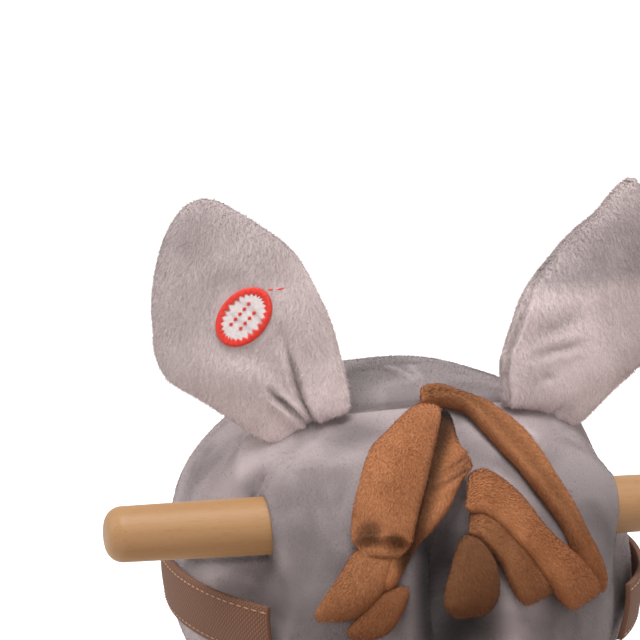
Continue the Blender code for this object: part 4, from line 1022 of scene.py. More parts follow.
def stuffed_strip(name, edges, outwards, thickness, blunt=2.6, cut=0.62):
    """A flat stuffed strip. edges are pairs of points on its two long edges, cut is how wide its ends are."""
    middles = [(one + other) / 2 for one, other in edges]
    passed = [0.0]
    for before, after in zip(middles, middles[1:]):
        passed.append(passed[-1] + (after - before).length)
    bm = bmesh.new()
    rings = []
    for (one, other), middle, outward, along in zip(edges, middles, outwards, passed):
        across = (other - one) / 2
        up = (outward - across * outward.dot(across) / across.length_squared).normalized()
        from_end = min(along, passed[-1] - along)
        thin = 1 - max(0, 1 - from_end / (0.75 * thickness)) ** 2
        narrow = 1 - max(0, 1 - from_end / (0.75 * across.length)) ** 2.5
        rings.append(add_ring(
            bm, middle, across * (cut + (1 - cut) * narrow), up * thickness / 2 * max(0.12, thin) ** 0.5,
            64, blunt,
        ))
    skin_rings(bm, rings)
    return add_piece(name, bm), middles


def comb_along(piece, middles):
    """Lays the pile of a strip from its sewn end to its free end."""
    places = mesh_values(piece.data)
    middles = np.array([tuple(middle) for middle in middles])
    nearest = np.argmin(np.linalg.norm(places[:, None] - middles[None], axis=2), axis=1)
    ahead = np.gradient(middles, axis=0)
    comb(piece, lambda _: ahead[nearest] / np.linalg.norm(ahead[nearest], axis=1)[:, None])


STRIP_PILE = (2.4, 0.0017, 0.00028, 0.42, 0.3, 0.45)
# Painted shade on the lower strips, which get less light.
STRIP_SHADE = {"mane_right_3": 0.36, "mane_right_4": 0.60, "mane_left_3": 0.25, "mane_left_4": 0.3}
BLUNT_STRIPS = ("mane_right_1", "mane_right_2", "mane_right_3")
CUT_BLUNT = 0.85
CUT_ROUND = 0.62


def finish_strip(strip, name, middles, seed):
    """Puts the cloth, its painted shade and its pile on a strip."""
    dress(strip, "brown_plush", brown_plush, name)
    shade_plush(strip, STRIP_SHADE.get(name, 0.0))
    comb_along(strip, middles)
    grow_pile(strip, STRIP_PILE, seed, "brown_plush", brown_tufts)


def press_sewn_line(strip, edges, face):
    """A sewn line runs down the long strip, with painted shade beside it."""
    line = [one.lerp(other, 0.70) + face for one, other in edges[int(0.02 * (len(edges) - 1))::3]]
    press_line(strip, line, (0.0010, 0.0012, 0.0010), 0.0022, 0.3, seam=0)
    gap, along = near_line(mesh_values(strip.data), line)
    shade_plush(strip, on_ramp(along, ((0, 0.5), (0.25, 0.36), (1, 0.34))) * fade(gap, 0.0042))


def close_end(strip, edges, middles, away, face):
    """The lower end of the broad strip is pinched shut behind a rim, with two hollows in it, and painted
    shade towards the end and in the hollows.
    """
    along = near_line(mesh_values(strip.data), middles)[1]
    shade_plush(strip, on_ramp(along, ((0.2, 0), (0.5, 0.05), (1, 0.24))))
    one, other = edges[round(0.955 * (len(edges) - 1))]
    rim = [one.lerp(other, share) + away * 0.0035 for share in (0, 0.35, 0.7, 1)]
    press_line(strip, rim, (0.0016, 0.0020, 0.0016), 0.0014, 0.7, away, 0)
    for across, down, reach in ((0.27, 0.86, 0.0068), (0.74, 0.925, 0.0052)):
        one, other = edges[round(down * (len(edges) - 1))]
        pinch = one.lerp(other, across) + face
        swell(strip, pinch, reach, -0.0030)
        shade_plush(strip, 0.72 * fade(gap_to(mesh_values(strip.data), pinch), reach * 1.05, 4))


def crease_under(strip, edges, middles, away, upper_edges):
    """Short creases, with painted shade in them, fan in from the strip's edge; a painted shadow lies under
    the strip that lies on it, and painted shade where this strip starts.
    """
    for start, end, reach in ((0.34, 0.44, 0.55), (0.40, 0.50, 0.5), (0.30, 0.40, 0.6)):
        first = edges[round(start * (len(edges) - 1))]
        last = edges[round(end * (len(edges) - 1))]
        crease = [first[0].lerp(first[1], 0.98), last[0].lerp(last[1], reach)]
        press_line(strip, crease, (0.0020, 0.0006), 0.0012, 0.7, away)
    gap = near_line(mesh_values(strip.data), [other for _, other in upper_edges])[0]
    shade_plush(strip, 0.84 * fade(gap, 0.0064, 4))
    along = near_line(mesh_values(strip.data), middles)[1]
    shade_plush(strip, on_ramp(along, ((0.06, 0.985), (0.11, 0.90), (0.25, 0))))


strip_edges = {}
for number, (name, (rows, thickness)) in enumerate(HEAD_STRIPS.items()):
    edges = []
    outwards = []
    for up_one, left_one, lift_one, up_other, left_other, lift_other in catmull_rows(rows, 5):
        one = on_head(up_one, left_one, lift_one * MM)
        other = on_head(up_other, left_other, lift_other * MM)
        edges.append((one, other))
        away = (one + other) / 2 - head_middle
        outwards.append(Vector(away / (h * h) for away, h in zip(away, head_half)).normalized())
    strip_edges[name] = edges
    cut = CUT_BLUNT if name in BLUNT_STRIPS else CUT_ROUND
    strip, middles = stuffed_strip(f"stuffed_{name}", edges, outwards, thickness * MM, cut=cut)
    ripple(strip, (0.05, 0.02), (0.0005, 0.0003), 50 + number)
    away = outwards[len(outwards) // 2]
    face = away * thickness / 2 * MM
    if name == "mane_right_1":
        press_sewn_line(strip, edges, face)
    if name == "mane_left_1":
        close_end(strip, edges, middles, away, face)
    if name == "mane_left_2":
        crease_under(strip, edges, middles, away, strip_edges["mane_left_1"])
    finish_strip(strip, name, middles, 60 + number)

# The last pair lies on the neck. Rows down the neck: share of its height, angle to the left of the
# middle of its back and half width in millimetres.
NECK_STRIP = ((0.83, 7, 8), (0.78, 11, 10), (0.72, 18, 12), (0.66, 25, 13), (0.60, 33, 12.5), (0.54, 42, 10))
# The neck: share of its height, how far ahead of the handle bar its middle is, and its half sizes.
NECK_ROWS = ((0.54, -25, 68, 64), (0.81, -9, 59, 60), (0.97, 2, 50, 53))
NECK_FOOT = 0.250
NECK_RISE = 0.1845
NECK_STRIP_LIFT = 0.0025
for side, name in ((1, "mane_left_5"), (-1, "mane_right_5")):
    middles = []
    outwards = []
    halves = []
    for share, left, half in catmull_rows(NECK_STRIP, 5):
        shift, half_long, half_wide = (
            np.interp(share, *zip(*((row[0], row[column]) for row in NECK_ROWS))) for column in (1, 2, 3)
        )
        left = math.radians(left) * side
        middles.append(Vector((
            handle_middle.x + (shift - math.cos(left) * half_long) * MM,
            math.sin(left) * half_wide * MM, NECK_FOOT + share * NECK_RISE,
        )))
        outwards.append(Vector((-math.cos(left) / half_long, math.sin(left) / half_wide, 0)).normalized())
        halves.append(half * MM)
    edges = []
    for i, (middle, outward, half) in enumerate(zip(middles, outwards, halves)):
        ahead = middles[min(i + 1, len(middles) - 1)] - middles[max(i - 1, 0)]
        aside = ahead.cross(outward).normalized() * half
        edges.append((middle + outward * NECK_STRIP_LIFT - aside, middle + outward * NECK_STRIP_LIFT + aside))
    strip, middles = stuffed_strip(f"stuffed_{name}", edges, outwards, 0.010, cut=0.8)
    ripple(strip, (0.05, 0.02), (0.0005, 0.0003), 58 + side)
    finish_strip(strip, name, middles, 70 + side)


# Handle bar: one turned beech peg, sanded and lacquered, fullest where it goes into the head.
WOOD_LIGHT = (0.46, 0.249, 0.098, 1)
WOOD_DARK = (0.31, 0.152, 0.056, 1)
grain_group, given = new_group("beech grain", "ShaderNodeTree", {
    "Along": "Vector", "Light": "Color", "Dark": "Color",
}, {"Color": "Color", "Roughness": "Float", "Height": "Float"})


def grain_noise(stretch, detail, roughness=0.5, distortion=0.0):
    """Noise drawn out along the grain."""
    drawn_out = add(grain_group, "ShaderNodeVectorMath", {
        0: given["Along"], 1: stretch,
    }, operation="MULTIPLY").outputs[0]
    return noise(grain_group, drawn_out, 1.0, detail, roughness, distortion)


bands = grain_noise((1.6, 34, 34), 3, 0.55, 0.5)
lines = grain_noise((9, 420, 420), 2)
flecks = ranged(grain_group, grain_noise((260, 1500, 1500), 0), 0.0, 0.22, 0.62, 0.74)
toned = maths(grain_group, "MULTIPLY_ADD", bands, 1.3, -0.35)
toned = maths(grain_group, "MULTIPLY_ADD", lines, 0.35, toned)
toned = maths(grain_group, "SUBTRACT", toned, flecks, use_clamp=True)
add(grain_group, "NodeGroupOutput", {
    "Color": mixed(grain_group, toned, given["Dark"], given["Light"]),
    "Roughness": ranged(grain_group, bands, 0.62, 0.46), "Height": lines,
})


def wood_material(name, light, dark, turn=(0, 0, 0), lacquer=0.15):
    """Wood whose grain runs along X, or along X turned by the angles."""
    material, tree, shader = new_material(name)
    along = add(tree, "ShaderNodeMapping", {"Vector": object_place(tree), "Rotation": turn}).outputs[0]
    grain = add(tree, "ShaderNodeGroup", {
        "Along": along, "Light": light, "Dark": dark,
    }, node_tree=grain_group).outputs
    feed(shader, {
        "Base Color": grain["Color"], "Roughness": grain["Roughness"],
        "Normal": raised(tree, grain["Height"], 0.25, 0.0003),
        "Coat Weight": lacquer, "Coat Roughness": 0.45,
    })
    return material


def turned(profile, upright, steps):
    """Turns an outline round an axis, as on a lathe. The outline is pairs of a radius and a height."""
    bm = bmesh.new()
    verts = [bm.verts.new(Vector((radius, 0, 0)) + Vector(upright) * height) for radius, height in profile]
    edges = [bm.edges.new(pair) for pair in zip(verts, verts[1:])]
    bmesh.ops.spin(
        bm, geom=verts + edges, axis=upright, cent=(0, 0, 0), angle=math.tau, steps=steps, use_merge=True,
    )
    bmesh.ops.remove_doubles(bm, verts=bm.verts, dist=1e-6)
    bmesh.ops.recalc_face_normals(bm, faces=bm.faces)
    return bm


TIP_ROUNDING = 0.0075
TIP_NARROWING = 0.945
FULL_REACH = 0.05
tip_radius = handle_half.z * TIP_NARROWING
half_profile = [(handle_half.z, FULL_REACH)]
for i in range(9):
    turn_angle = math.radians(11.25 * i)
    half_profile.append((
        tip_radius - TIP_ROUNDING * (1 - math.cos(turn_angle)),
        handle_half.y - TIP_ROUNDING * (1 - math.sin(turn_angle)),
    ))
half_profile.append((0.0, handle_half.y))
bm = turned([(radius, -height) for radius, height in reversed(half_profile)] + half_profile, (0, 1, 0), 96)
bmesh.ops.translate(bm, verts=bm.verts, vec=handle_middle)
handle = add_piece("turned_handle_bar", bm)
handle_wood = wood_material("lacquered handle beech", WOOD_LIGHT, WOOD_DARK, (0, 0, math.radians(90)))
dress(handle, "handle_wood", handle_wood, "handle_bar")


# Body and legs: one cover of the same grey velvet plush, cut in panels and stuffed over the wooden
# frame, with the neck and the four legs sewn into it. The panels meet in seams round each hip.
body_low, body_high, body_middle, body_half = fitted("body")
BODY_BLUNTNESS = 2.7
CLOTH_GRAIN = 0.0042
HOOF_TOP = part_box("hoof_front_left")[1].z
CORNERS = [(end, name, side) for end in ("front", "rear") for name, side in SIDES]
# The neck: share of its height, how far behind the handle bar its middle is, and its half sizes.
NECK_STACK = (
    (-0.35, 0.052, 0.086, 0.070), (0.0, 0.046, 0.080, 0.070), (0.3, 0.034, 0.073, 0.067),
    (0.6, 0.018, 0.066, 0.064), (0.85, 0.004, 0.058, 0.060), (1.25, -0.006, 0.046, 0.050),
)
NECK_SUNK = 0.02
NECK_HEIGHT = 0.085
# A leg: share of its height and its half sizes.
LEG_STACK = (
    (0.0, 0.0275, 0.0275), (0.06, 0.0300, 0.0300), (0.25, 0.0310, 0.0305), (0.5, 0.034, 0.032),
    (0.72, 0.041, 0.035), (0.9, 0.047, 0.037), (1.0, 0.044, 0.034),
)
LEG_LEAN = {"front": 0.008, "rear": -0.006}
LEG_SPLAY = 0.004
LEG_SUNK = 0.075
LEG_GAP = 0.0006
# The seam round a hip: its half width, how far out it lies, how high it starts and how far it rises.
HIP_REACH = 0.052
HIP_OUT = 0.092
HIP_FOOT = 0.012
HIP_RISE = 0.062
BODY_PILE = (0.11, 0.0022, 0.00038, 0.45, 0.35, 0.9)


def put(bm, source):
    """Adds the faces of a bmesh to another one, and closes the first."""
    held = bpy.data.meshes.new("held")
    source.to_mesh(held)
    source.free()
    bm.from_mesh(held)
    bpy.data.meshes.remove(held)


def one_cover(name, bm, grain, smoothing):
    """Draws one skin over overlapping stuffed forms, and smooths the joins."""
    piece = make_object(name, bm)
    skin = piece.modifiers.new("one skin", "REMESH")
    skin.mode = "VOXEL"
    skin.voxel_size = grain
    skin.use_smooth_shade = True
    eased = piece.modifiers.new("eased joins", "SMOOTH")
    eased.factor = 0.5
    eased.iterations = smoothing
    covered = finished_mesh(piece)
    piece.modifiers.clear()
    piece.data = covered
    covered.shade_smooth()
    return piece


bm = bmesh.new()
bmesh.ops.create_icosphere(bm, subdivisions=6, radius=1)
for vert in bm.verts:
    ahead, aside, up = vert.co
    round_share = math.hypot(aside, up)
    grow = (abs(ahead) ** BODY_BLUNTNESS + round_share**BODY_BLUNTNESS) ** (-1 / BODY_BLUNTNESS)
    vert.co = body_middle + vert.co * grow * body_half
neck = bmesh.new()
stack_rings(neck, [
    (Vector((handle_middle.x - back, 0, body_high.z - NECK_SUNK + share * NECK_HEIGHT)), half_long, half_wide)
    for share, back, half_long, half_wide in NECK_STACK
], 48)
put(bm, neck)
top = body_low.z + LEG_SUNK
for end, name, side in CORNERS:
    leg_low, leg_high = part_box(f"leg_{end}_{name}")
    x = (leg_low.x + leg_high.x) / 2
    y = (leg_low.y + leg_high.y) / 2
    rows = []
    for share, half_long, half_wide in LEG_STACK:
        z = HOOF_TOP + LEG_GAP + share * (top - HOOF_TOP)
        middle = Vector((x - LEG_LEAN[end] * share, y - side * LEG_SPLAY * share, z))
        rows.append((middle, half_long, half_wide))
    leg = bmesh.new()
    stack_rings(leg, rows, 32)
    put(bm, leg)
body = one_cover("stuffed_body_and_legs", bm, CLOTH_GRAIN, 9)
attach(body, "animal")
dress(
    body, "grey_plush", plush_material("grey body plush", GREY_LIGHT, GREY_DARK, 14, 0.75),
    "body", "neck", *(f"leg_{end}_{name}" for end, name, _ in CORNERS),
)
# Seams round the hips, along the belly and down the rump, with painted shade in their bottoms.
for end, name, side in CORNERS:
    leg_low, leg_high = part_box(f"leg_{end}_{name}")
    x = (leg_low.x + leg_high.x) / 2
    hip = []
    for i in range(13):
        turn_angle = math.pi * (i / 12)
        z = body_low.z + HIP_FOOT + HIP_RISE * math.sin(turn_angle)
        hip.append(Vector((x + HIP_REACH * math.cos(turn_angle), side * HIP_OUT, z)))
    press_line(body, hip, (0.0006, 0.0034, 0.0036, 0.0034, 0.0006), 0.0045, 0.45, (0, side, 0))
belly = [Vector((body_low.x + 0.01 + i * 0.05, 0, body_low.z)) for i in range(9)]
press_line(body, belly, (0.0015, 0.0015), 0.003, 0.3, (0, 0, -1))
rump = [Vector((body_low.x, 0, z)) for z in (0.17, 0.21, 0.25, 0.29, 0.33)]
press_line(body, rump, (0.001, 0.002, 0.002, 0.001), 0.003, 0.3, (-1, 0, 0))
ripple(body, (0.12, 0.055), (0.0016, 0.0007), 5)


def body_comb(places):
    """Down the sides and back along the top."""
    top = np.clip((places[:, 2] - body_middle.z) / body_half.z, 0, 1)
    return np.column_stack((-0.4 - 0.6 * top, 0 * top, -1 + 0.6 * top))


comb(body, body_comb)
grow_pile(body, BODY_PILE, 12, "grey_plush", grey_tufts)


# Hooves: short cups of brown plush round a stiff disc, sewn to the ends of the legs.
HOOF_PILE = (0.7, 0.0018, 0.00034, 0.55, 0.5, 0.8)
# Rows up a hoof: share of its height and of its width.
HOOF_STACK = (
    (0.0, 0.80), (0.015, 0.90), (0.06, 0.965), (0.16, 1.0), (0.35, 0.995), (0.6, 0.965),
    (0.82, 0.945), (0.93, 0.93), (0.985, 0.88), (1.0, 0.78),
)
for end, name, side in CORNERS:
    number = SIDES.index((name, side))
    low, high, middle, half = fitted(f"hoof_{end}_{name}")
    bm = bmesh.new()
    stack_rings(bm, [
        (Vector((middle.x, middle.y, low.z + share * (high.z - low.z))), half.x * reach, half.y * reach)
        for share, reach in HOOF_STACK
    ], 56)
    bmesh.ops.subdivide_edges(bm, edges=bm.edges, cuts=1, use_grid_fill=True)
    hoof = add_piece(f"stuffed_hoof_{end}_{name}", bm)
    dress(hoof, "brown_plush", brown_plush, f"hoof_{end}_{name}")
    ripple(hoof, (0.03, 0.018), (0.0006, 0.0003), 80 + number)
    comb(hoof, (0, 0, -1))
    grow_pile(hoof, HOOF_PILE, 90 + number, "brown_plush", brown_tufts)


# Muzzle: a smaller stuffed form of paler plush, sewn to the front of the head, with embroidered
# nostrils and a stitched mouth line.
MUZZLE_LIGHT = (0.80, 0.72, 0.68, 1)
MUZZLE_DARK = (0.58, 0.50, 0.47, 1)
THREAD_DARK = (0.035, 0.025, 0.022, 1)
# A nostril, in degrees over the muzzle: up and out to its middle, its half sizes and its slant.
NOSTRIL_UP = 14
NOSTRIL_OUT = 26
NOSTRIL_HALF_TALL = 8.5
NOSTRIL_HALF_WIDE = 10
NOSTRIL_SLANT = 5
NOSTRIL_ROWS = 15
muzzle_low, muzzle_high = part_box("muzzle")
muzzle_middle = Vector((head_middle.x + 0.0915, 0, (muzzle_low.z + muzzle_high.z) / 2))
muzzle_half = Vector((muzzle_high.x - muzzle_middle.x, muzzle_high.y, (muzzle_high.z - muzzle_low.z) / 2))


def on_muzzle(up, left, lift=0.0):
    """A point over the muzzle, by angles in degrees from the middle of its front."""
    return on_form(muzzle_middle, muzzle_half, 1, up, left, lift)


MUZZLE_PILE = (0.6, 0.0018, 0.0003, 0.5, 0.4, 0.8)
pale_plush = plush_material("pale muzzle plush", MUZZLE_LIGHT, MUZZLE_DARK, 30, 0.6, 1100, 0.4)
muzzle = stuffed_ball("stuffed_muzzle", muzzle_middle, muzzle_half, 6)
dress(muzzle, "pale_plush", pale_plush, "muzzle")
# A seam down the middle of the muzzle and the mouth line, with painted shade in their bottoms.
press_line(muzzle, [on_muzzle(up, 0) for up in (35, 18, 0, -14)], (0.0008, 0.0014, 0.0018), 0.003, 0.4)
mouth = [on_muzzle(-20 + 9 * (left / 30) ** 2, left) for left in range(-30, 31, 6)]
press_line(muzzle, mouth, (0.0006, 0.0022, 0.0024, 0.0022, 0.0006), 0.003, 0.5)
for side in (1, -1):
    swell(muzzle, on_muzzle(NOSTRIL_UP, side * NOSTRIL_OUT), 0.012, 0.0018)
ripple(muzzle, (0.06, 0.03), (0.0008, 0.0004), 7)
comb(muzzle, (-1, 0, -0.3))
muzzle_tufts = tuft_material("pale muzzle tufts", MUZZLE_LIGHT, MUZZLE_DARK)
grow_pile(muzzle, MUZZLE_PILE, 13, "pale_plush", muzzle_tufts)

dark_thread = thread_material("dark embroidery thread", THREAD_DARK)
bm = bmesh.new()
for side in (1, -1):
    for row in range(NOSTRIL_ROWS):
        across = (row - NOSTRIL_ROWS // 2) / (NOSTRIL_ROWS / 2)
        tall = NOSTRIL_HALF_TALL * math.sqrt(1 - across**2)
        left = side * (NOSTRIL_OUT + NOSTRIL_HALF_WIDE * across)
        spots = [
            (NOSTRIL_UP + tall * share + NOSTRIL_SLANT * across, left) for share in (-1, -0.5, 0, 0.5, 1)
        ]
        points = [on_muzzle(*spot, 0.0024) for spot in spots]
        outwards = [(on_muzzle(*spot, 0.01) - on_muzzle(*spot)).normalized() for spot in spots]
        stitch_path(bm, points, outwards, 0.0019, 0.0014)
nostrils = add_piece("embroidered_nostrils", bm)
bm = bmesh.new()
for low, high in zip(mouth, mouth[1:]):
    middle = (low + high) / 2
    outward = (middle - muzzle_middle).normalized()
    points = [low.lerp(high, share) + outward * 0.0004 for share in (0.06, 0.35, 0.65, 0.94)]
    stitch_path(bm, points, [outward] * 4, 0.0021, 0.0018)
mouth_line = add_piece("stitched_mouth", bm)
for piece in (nostrils, mouth_line):
    dress(piece, "black_plastic", dark_thread)


# Eyes: black domes on stems, each on a felt disc that lies on the plush.
EYE_RADIUS = 0.0115
EYE_AHEAD = 0.080
EYE_OUT = 0.048
DOME_RISE = 0.0062
DOME_FOOT = 0.0008
# Rows up the felt disc: radius and height.
FELT_STACK = ((0.0120, -0.002), (0.0132, 0.0008), (0.0124, 0.0016), (0.0098, 0.0018))
glossy_black, tree, shader = new_material("glossy black plastic")
feed(shader, {
    "Base Color": (0.012, 0.009, 0.008, 1), "Coat Weight": 0.6,
    "Roughness": ranged(tree, noise(tree, object_place(tree), 220.0, 3.0), 0.04, 0.12),
})
for name, side in SIDES:
    ahead, aside = EYE_AHEAD, side * EYE_OUT
    share = 1 - (ahead / head_half.x) ** 2 - (aside / head_half.y) ** 2
    place = head_middle + Vector((ahead, aside, head_half.z * math.sqrt(share)))
    away = place - head_middle
    outward = Vector((away.x / head_half.x**2, away.y / head_half.y**2, away.z / head_half.z**2)).normalized()
    stand = Matrix.Translation(place) @ outward.to_track_quat("Z", "Y").to_matrix().to_4x4()
    dome = [
        (EYE_RADIUS * math.sin(turn_angle), DOME_FOOT + DOME_RISE * math.cos(turn_angle))
        for turn_angle in (math.radians(9 * i) for i in range(11))
    ]
    bm = turned([*dome, (0.0, 0.0)], (0, 0, 1), 48)
    bmesh.ops.transform(bm, matrix=stand, verts=bm.verts)
    eye = add_piece(f"button_eye_{name}", bm)
    dress(eye, "black_plastic", glossy_black, f"eye_{name}")
    bm = bmesh.new()
    stack_rings(bm, [(Vector((0, 0, height)), radius, radius) for radius, height in FELT_STACK], 40)
    bmesh.ops.transform(bm, matrix=stand, verts=bm.verts)
    felt = add_piece(f"felt_disc_{name}", bm)
    dress(felt, "pale_plush", pale_plush)


# Bridle and girth: brown webbing with stitched edges, sewn to the stuffed forms that it lies on.
WEBBING = (0.20, 0.085, 0.045, 1)
STRAP_THICKNESS = 0.0024
webbing, tree, shader = new_material("brown webbing")
weave = add(tree, "ShaderNodeUVMap", uv_map="weave").outputs["UV"]
ribs, twill = (
    add(tree, "ShaderNodeTexWave", {
        "Vector": weave, "Scale": scale, "Distortion": distortion, "Detail": 1.0,
    }, bands_direction=way).outputs["Fac"]
    for scale, distortion, way in ((260.0, 0.6, "X"), (330.0, 0.4, "DIAGONAL"))
)
woven = maths(tree, "MULTIPLY", ribs, twill)
feed(shader, {
    "Base Color": scaled(tree, WEBBING[:3], ranged(tree, woven, 0.6, 1.35)),
    "Roughness": 0.85, "Normal": raised(tree, woven, 0.7, 0.0004),
})
tan_thread = thread_material("tan strap thread", (0.42, 0.22, 0.11, 1))
STRAP_STEP = 0.004
STITCH_STEP = 0.0042
STITCH_FROM_EDGE = 0.0026


def lay_strap(name, node, surface, long, wide, closed=False):
    """Webbing laid on a surface: surface(along, across) gives a point and an outward direction, with
    both shares from 0 to 1. A row of stitches runs along each edge."""
    steps = max(8, round(long / STRAP_STEP))
    bm = bmesh.new()
    uv = bm.loops.layers.uv.new("weave")
    bmesh.ops.create_grid(bm, x_segments=steps, y_segments=6, size=0.5, calc_uvs=False)
    for face in bm.faces:
        for loop in face.loops:
            loop[uv].uv = ((loop.vert.co.x + 0.5) * long, (loop.vert.co.y + 0.5) * wide)
    for vert in bm.verts:
        vert.co = surface(vert.co.x + 0.5, vert.co.y + 0.5)[0]
    if closed:
        bmesh.ops.remove_doubles(bm, verts=bm.verts, dist=1e-5)
    bmesh.ops.recalc_face_normals(bm, faces=bm.faces)
    bm.faces.ensure_lookup_table()
    if bm.faces[0].normal.dot(surface(0.5 / steps, 0.5 / 6)[1]) < 0:
        bmesh.ops.reverse_faces(bm, faces=bm.faces)
    strap = add_piece(name, bm)
    wall = strap.modifiers.new("webbing", "SOLIDIFY")
    wall.thickness = STRAP_THICKNESS
    wall.offset = 1
    wall.use_even_offset = True
    softened = strap.modifiers.new("edges", "BEVEL")
    softened.width = 0.0006
    softened.segments = 2
    softened.limit_method = "ANGLE"
    dress(strap, "brown_webbing", webbing, node)
    bm = bmesh.new()
    count = max(3, round(long / STITCH_STEP))
    for across in (STITCH_FROM_EDGE / wide, 1 - STITCH_FROM_EDGE / wide):
        for i in range(count):
            spots = [surface((i + share) / count, across) for share in (0.14, 0.5, 0.86)]
            points = [point + outward * (STRAP_THICKNESS + 0.0001) for point, outward in spots]
            stitch_path(bm, points, [outward for _, outward in spots], 0.0008, 0.0007)
    thread = add_piece(f"{name}_stitches", bm)
    dress(thread, "brown_webbing", tan_thread)


STRAP_GAP = 0.0012
noseband_low, noseband_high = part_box("noseband")


def noseband_surface(along, across):
    """Round the muzzle."""
    x = noseband_low.x + across * (noseband_high.x - noseband_low.x)
    turn_angle = math.tau * along + math.pi / 2
    aside, up = math.cos(turn_angle), math.sin(turn_angle)
    left_over = math.sqrt(1 - ((x - muzzle_middle.x) / muzzle_half.x) ** 2)
    reach = 1 / math.hypot(aside / (muzzle_half.y * left_over), up / (muzzle_half.z * left_over))
    lean = (x - muzzle_middle.x) / muzzle_half.x**2
    outward = Vector((lean, aside * reach / muzzle_half.y**2, up * reach / muzzle_half.z**2)).normalized()
    return Vector((x, aside * reach, muzzle_middle.z + up * reach)) + outward * STRAP_GAP, outward


lay_strap("webbing_noseband", "noseband", noseband_surface, 0.31, 0.018, closed=True)
REIN_DROP = 0.0022
for name, side in SIDES:
    rein_low, rein_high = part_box(f"rein_{name}")

    def rein_surface(along, across, side=side, low=rein_low, high=rein_high):
        """Along the side of the head, and on over the muzzle."""
        x = low.x + along * (high.x - low.x)
        z = low.z + across * (high.z - low.z) - REIN_DROP * (1 - along)
        wide = []
        for middle, half in ((head_middle, head_half), (muzzle_middle, muzzle_half)):
            share = 1 - ((x - middle.x) / half.x) ** 2 - ((z - middle.z) / half.z) ** 2
            wide.append((half.y * math.sqrt(max(share, 0)), middle, half))
        reach, middle, half = max(wide, key=lambda item: item[0])
        # Where the two stuffed forms meet, the strap bridges the crease.
        reach += 0.002 * math.exp(-((wide[0][0] - wide[1][0]) / 0.006) ** 2)
        outward = Vector((
            (x - middle.x) / half.x**2, side * reach / half.y**2, (z - middle.z) / half.z**2,
        )).normalized()
        return Vector((x, side * reach, z)) + outward * STRAP_GAP, outward

    reach = rein_high - rein_low
    lay_strap(f"webbing_rein_{name}", f"rein_{name}", rein_surface, reach.x, reach.z)


def on_body(x, turn_angle, lift):
    """A point over the barrel, by its place along X and the angle round X from straight up."""
    share = abs((x - body_middle.x) / body_half.x)
    girth = (1 - share**BODY_BLUNTNESS) ** (1 / BODY_BLUNTNESS)
    across, up = math.sin(turn_angle), math.cos(turn_angle)
    point = Vector((
        x, across * (body_half.y * girth + lift), body_middle.z + up * (body_half.z * girth + lift),
    ))
    return point, Vector((0, across, up))


girth_low, girth_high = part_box("girth")
GIRTH_REACH = math.radians(92)


def girth_surface(along, across):
    """Under the belly, from side to side."""
    x = girth_low.x + across * (girth_high.x - girth_low.x)
    return on_body(x, math.pi - GIRTH_REACH + along * 2 * GIRTH_REACH, STRAP_GAP)


lay_strap("webbing_girth", "girth", girth_surface, 0.31, 0.024)


# Saddle: a padded brushed suedette seat with piped edges, sewn over the back. Its filling is
# swelled by a cloth simulation with pressure inside, and then the quilted channels are drawn in.
saddle_low, saddle_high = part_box("saddle")
saddle_middle = (saddle_low + saddle_high) / 2
SADDLE_LIGHT = (0.36, 0.155, 0.075, 1)
SADDLE_DARK = (0.20, 0.078, 0.034, 1)
SADDLE_SIDES = math.radians(88)
SADDLE_NARROWING = 0.22
SADDLE_CURVE = 0.05
SADDLE_LIFT = 0.0015
SADDLE_THICKNESS = 0.0075
SADDLE_GRAIN = 0.005
FILLING_STEPS = 20
FILLING_LIMIT = 0.007
CLEAR_OF_BACK = 1.006
CHANNELS = (-0.45, 0.0, 0.45)
CHANNEL_LIFT = 0.012
PIPING_LIFT = 0.006
PIPING_RADIUS = 0.0026
saddle_half_long = (saddle_high.x - saddle_low.x) / 2


def saddle_place(along, around, lift):
    """along and around run from -1 to 1. The pad is narrower at the bottom of its flaps."""
    flap = abs(around) ** 2.2
    x = saddle_middle.x + along * saddle_half_long * (1 - SADDLE_NARROWING * flap)
    return on_body(x, around * SADDLE_SIDES * (1 - SADDLE_CURVE * along**2), lift)


bm = bmesh.new()
bmesh.ops.create_grid(bm, x_segments=26, y_segments=52, size=1)
for vert in bm.verts:
    vert.co = saddle_place(vert.co.x, vert.co.y, SADDLE_LIFT)[0]
bmesh.ops.recalc_face_normals(bm, faces=bm.faces)
bmesh.ops.solidify(bm, geom=bm.faces, thickness=-SADDLE_THICKNESS)
bmesh.ops.recalc_face_normals(bm, faces=bm.faces)
saddle = one_cover("padded_saddle", bm, SADDLE_GRAIN, 2)
fill = saddle.modifiers.new("filling", "CLOTH")
fill.settings.use_pressure = True
fill.settings.uniform_pressure_force = 4
fill.settings.tension_stiffness = 12
fill.settings.compression_stiffness = 12
fill.settings.bending_stiffness = 0.6
fill.settings.effector_weights.gravity = 0
fill.point_cache.frame_start = 1
fill.point_cache.frame_end = FILLING_STEPS
before = mesh_values(saddle.data)
for frame_number in range(1, FILLING_STEPS + 1):
    bpy.context.scene.frame_set(frame_number)
swelled = finished_mesh(saddle)
saddle.modifiers.clear()
places = mesh_values(swelled)
moved = places - before
far = np.linalg.norm(moved, axis=1)
places = before + moved * (np.minimum(far, FILLING_LIMIT) / np.maximum(far, 1e-9))[:, None]
saddle.data.vertices.foreach_set("co", places.ravel())
bpy.context.scene.frame_set(1)
places = mesh_values(saddle.data)
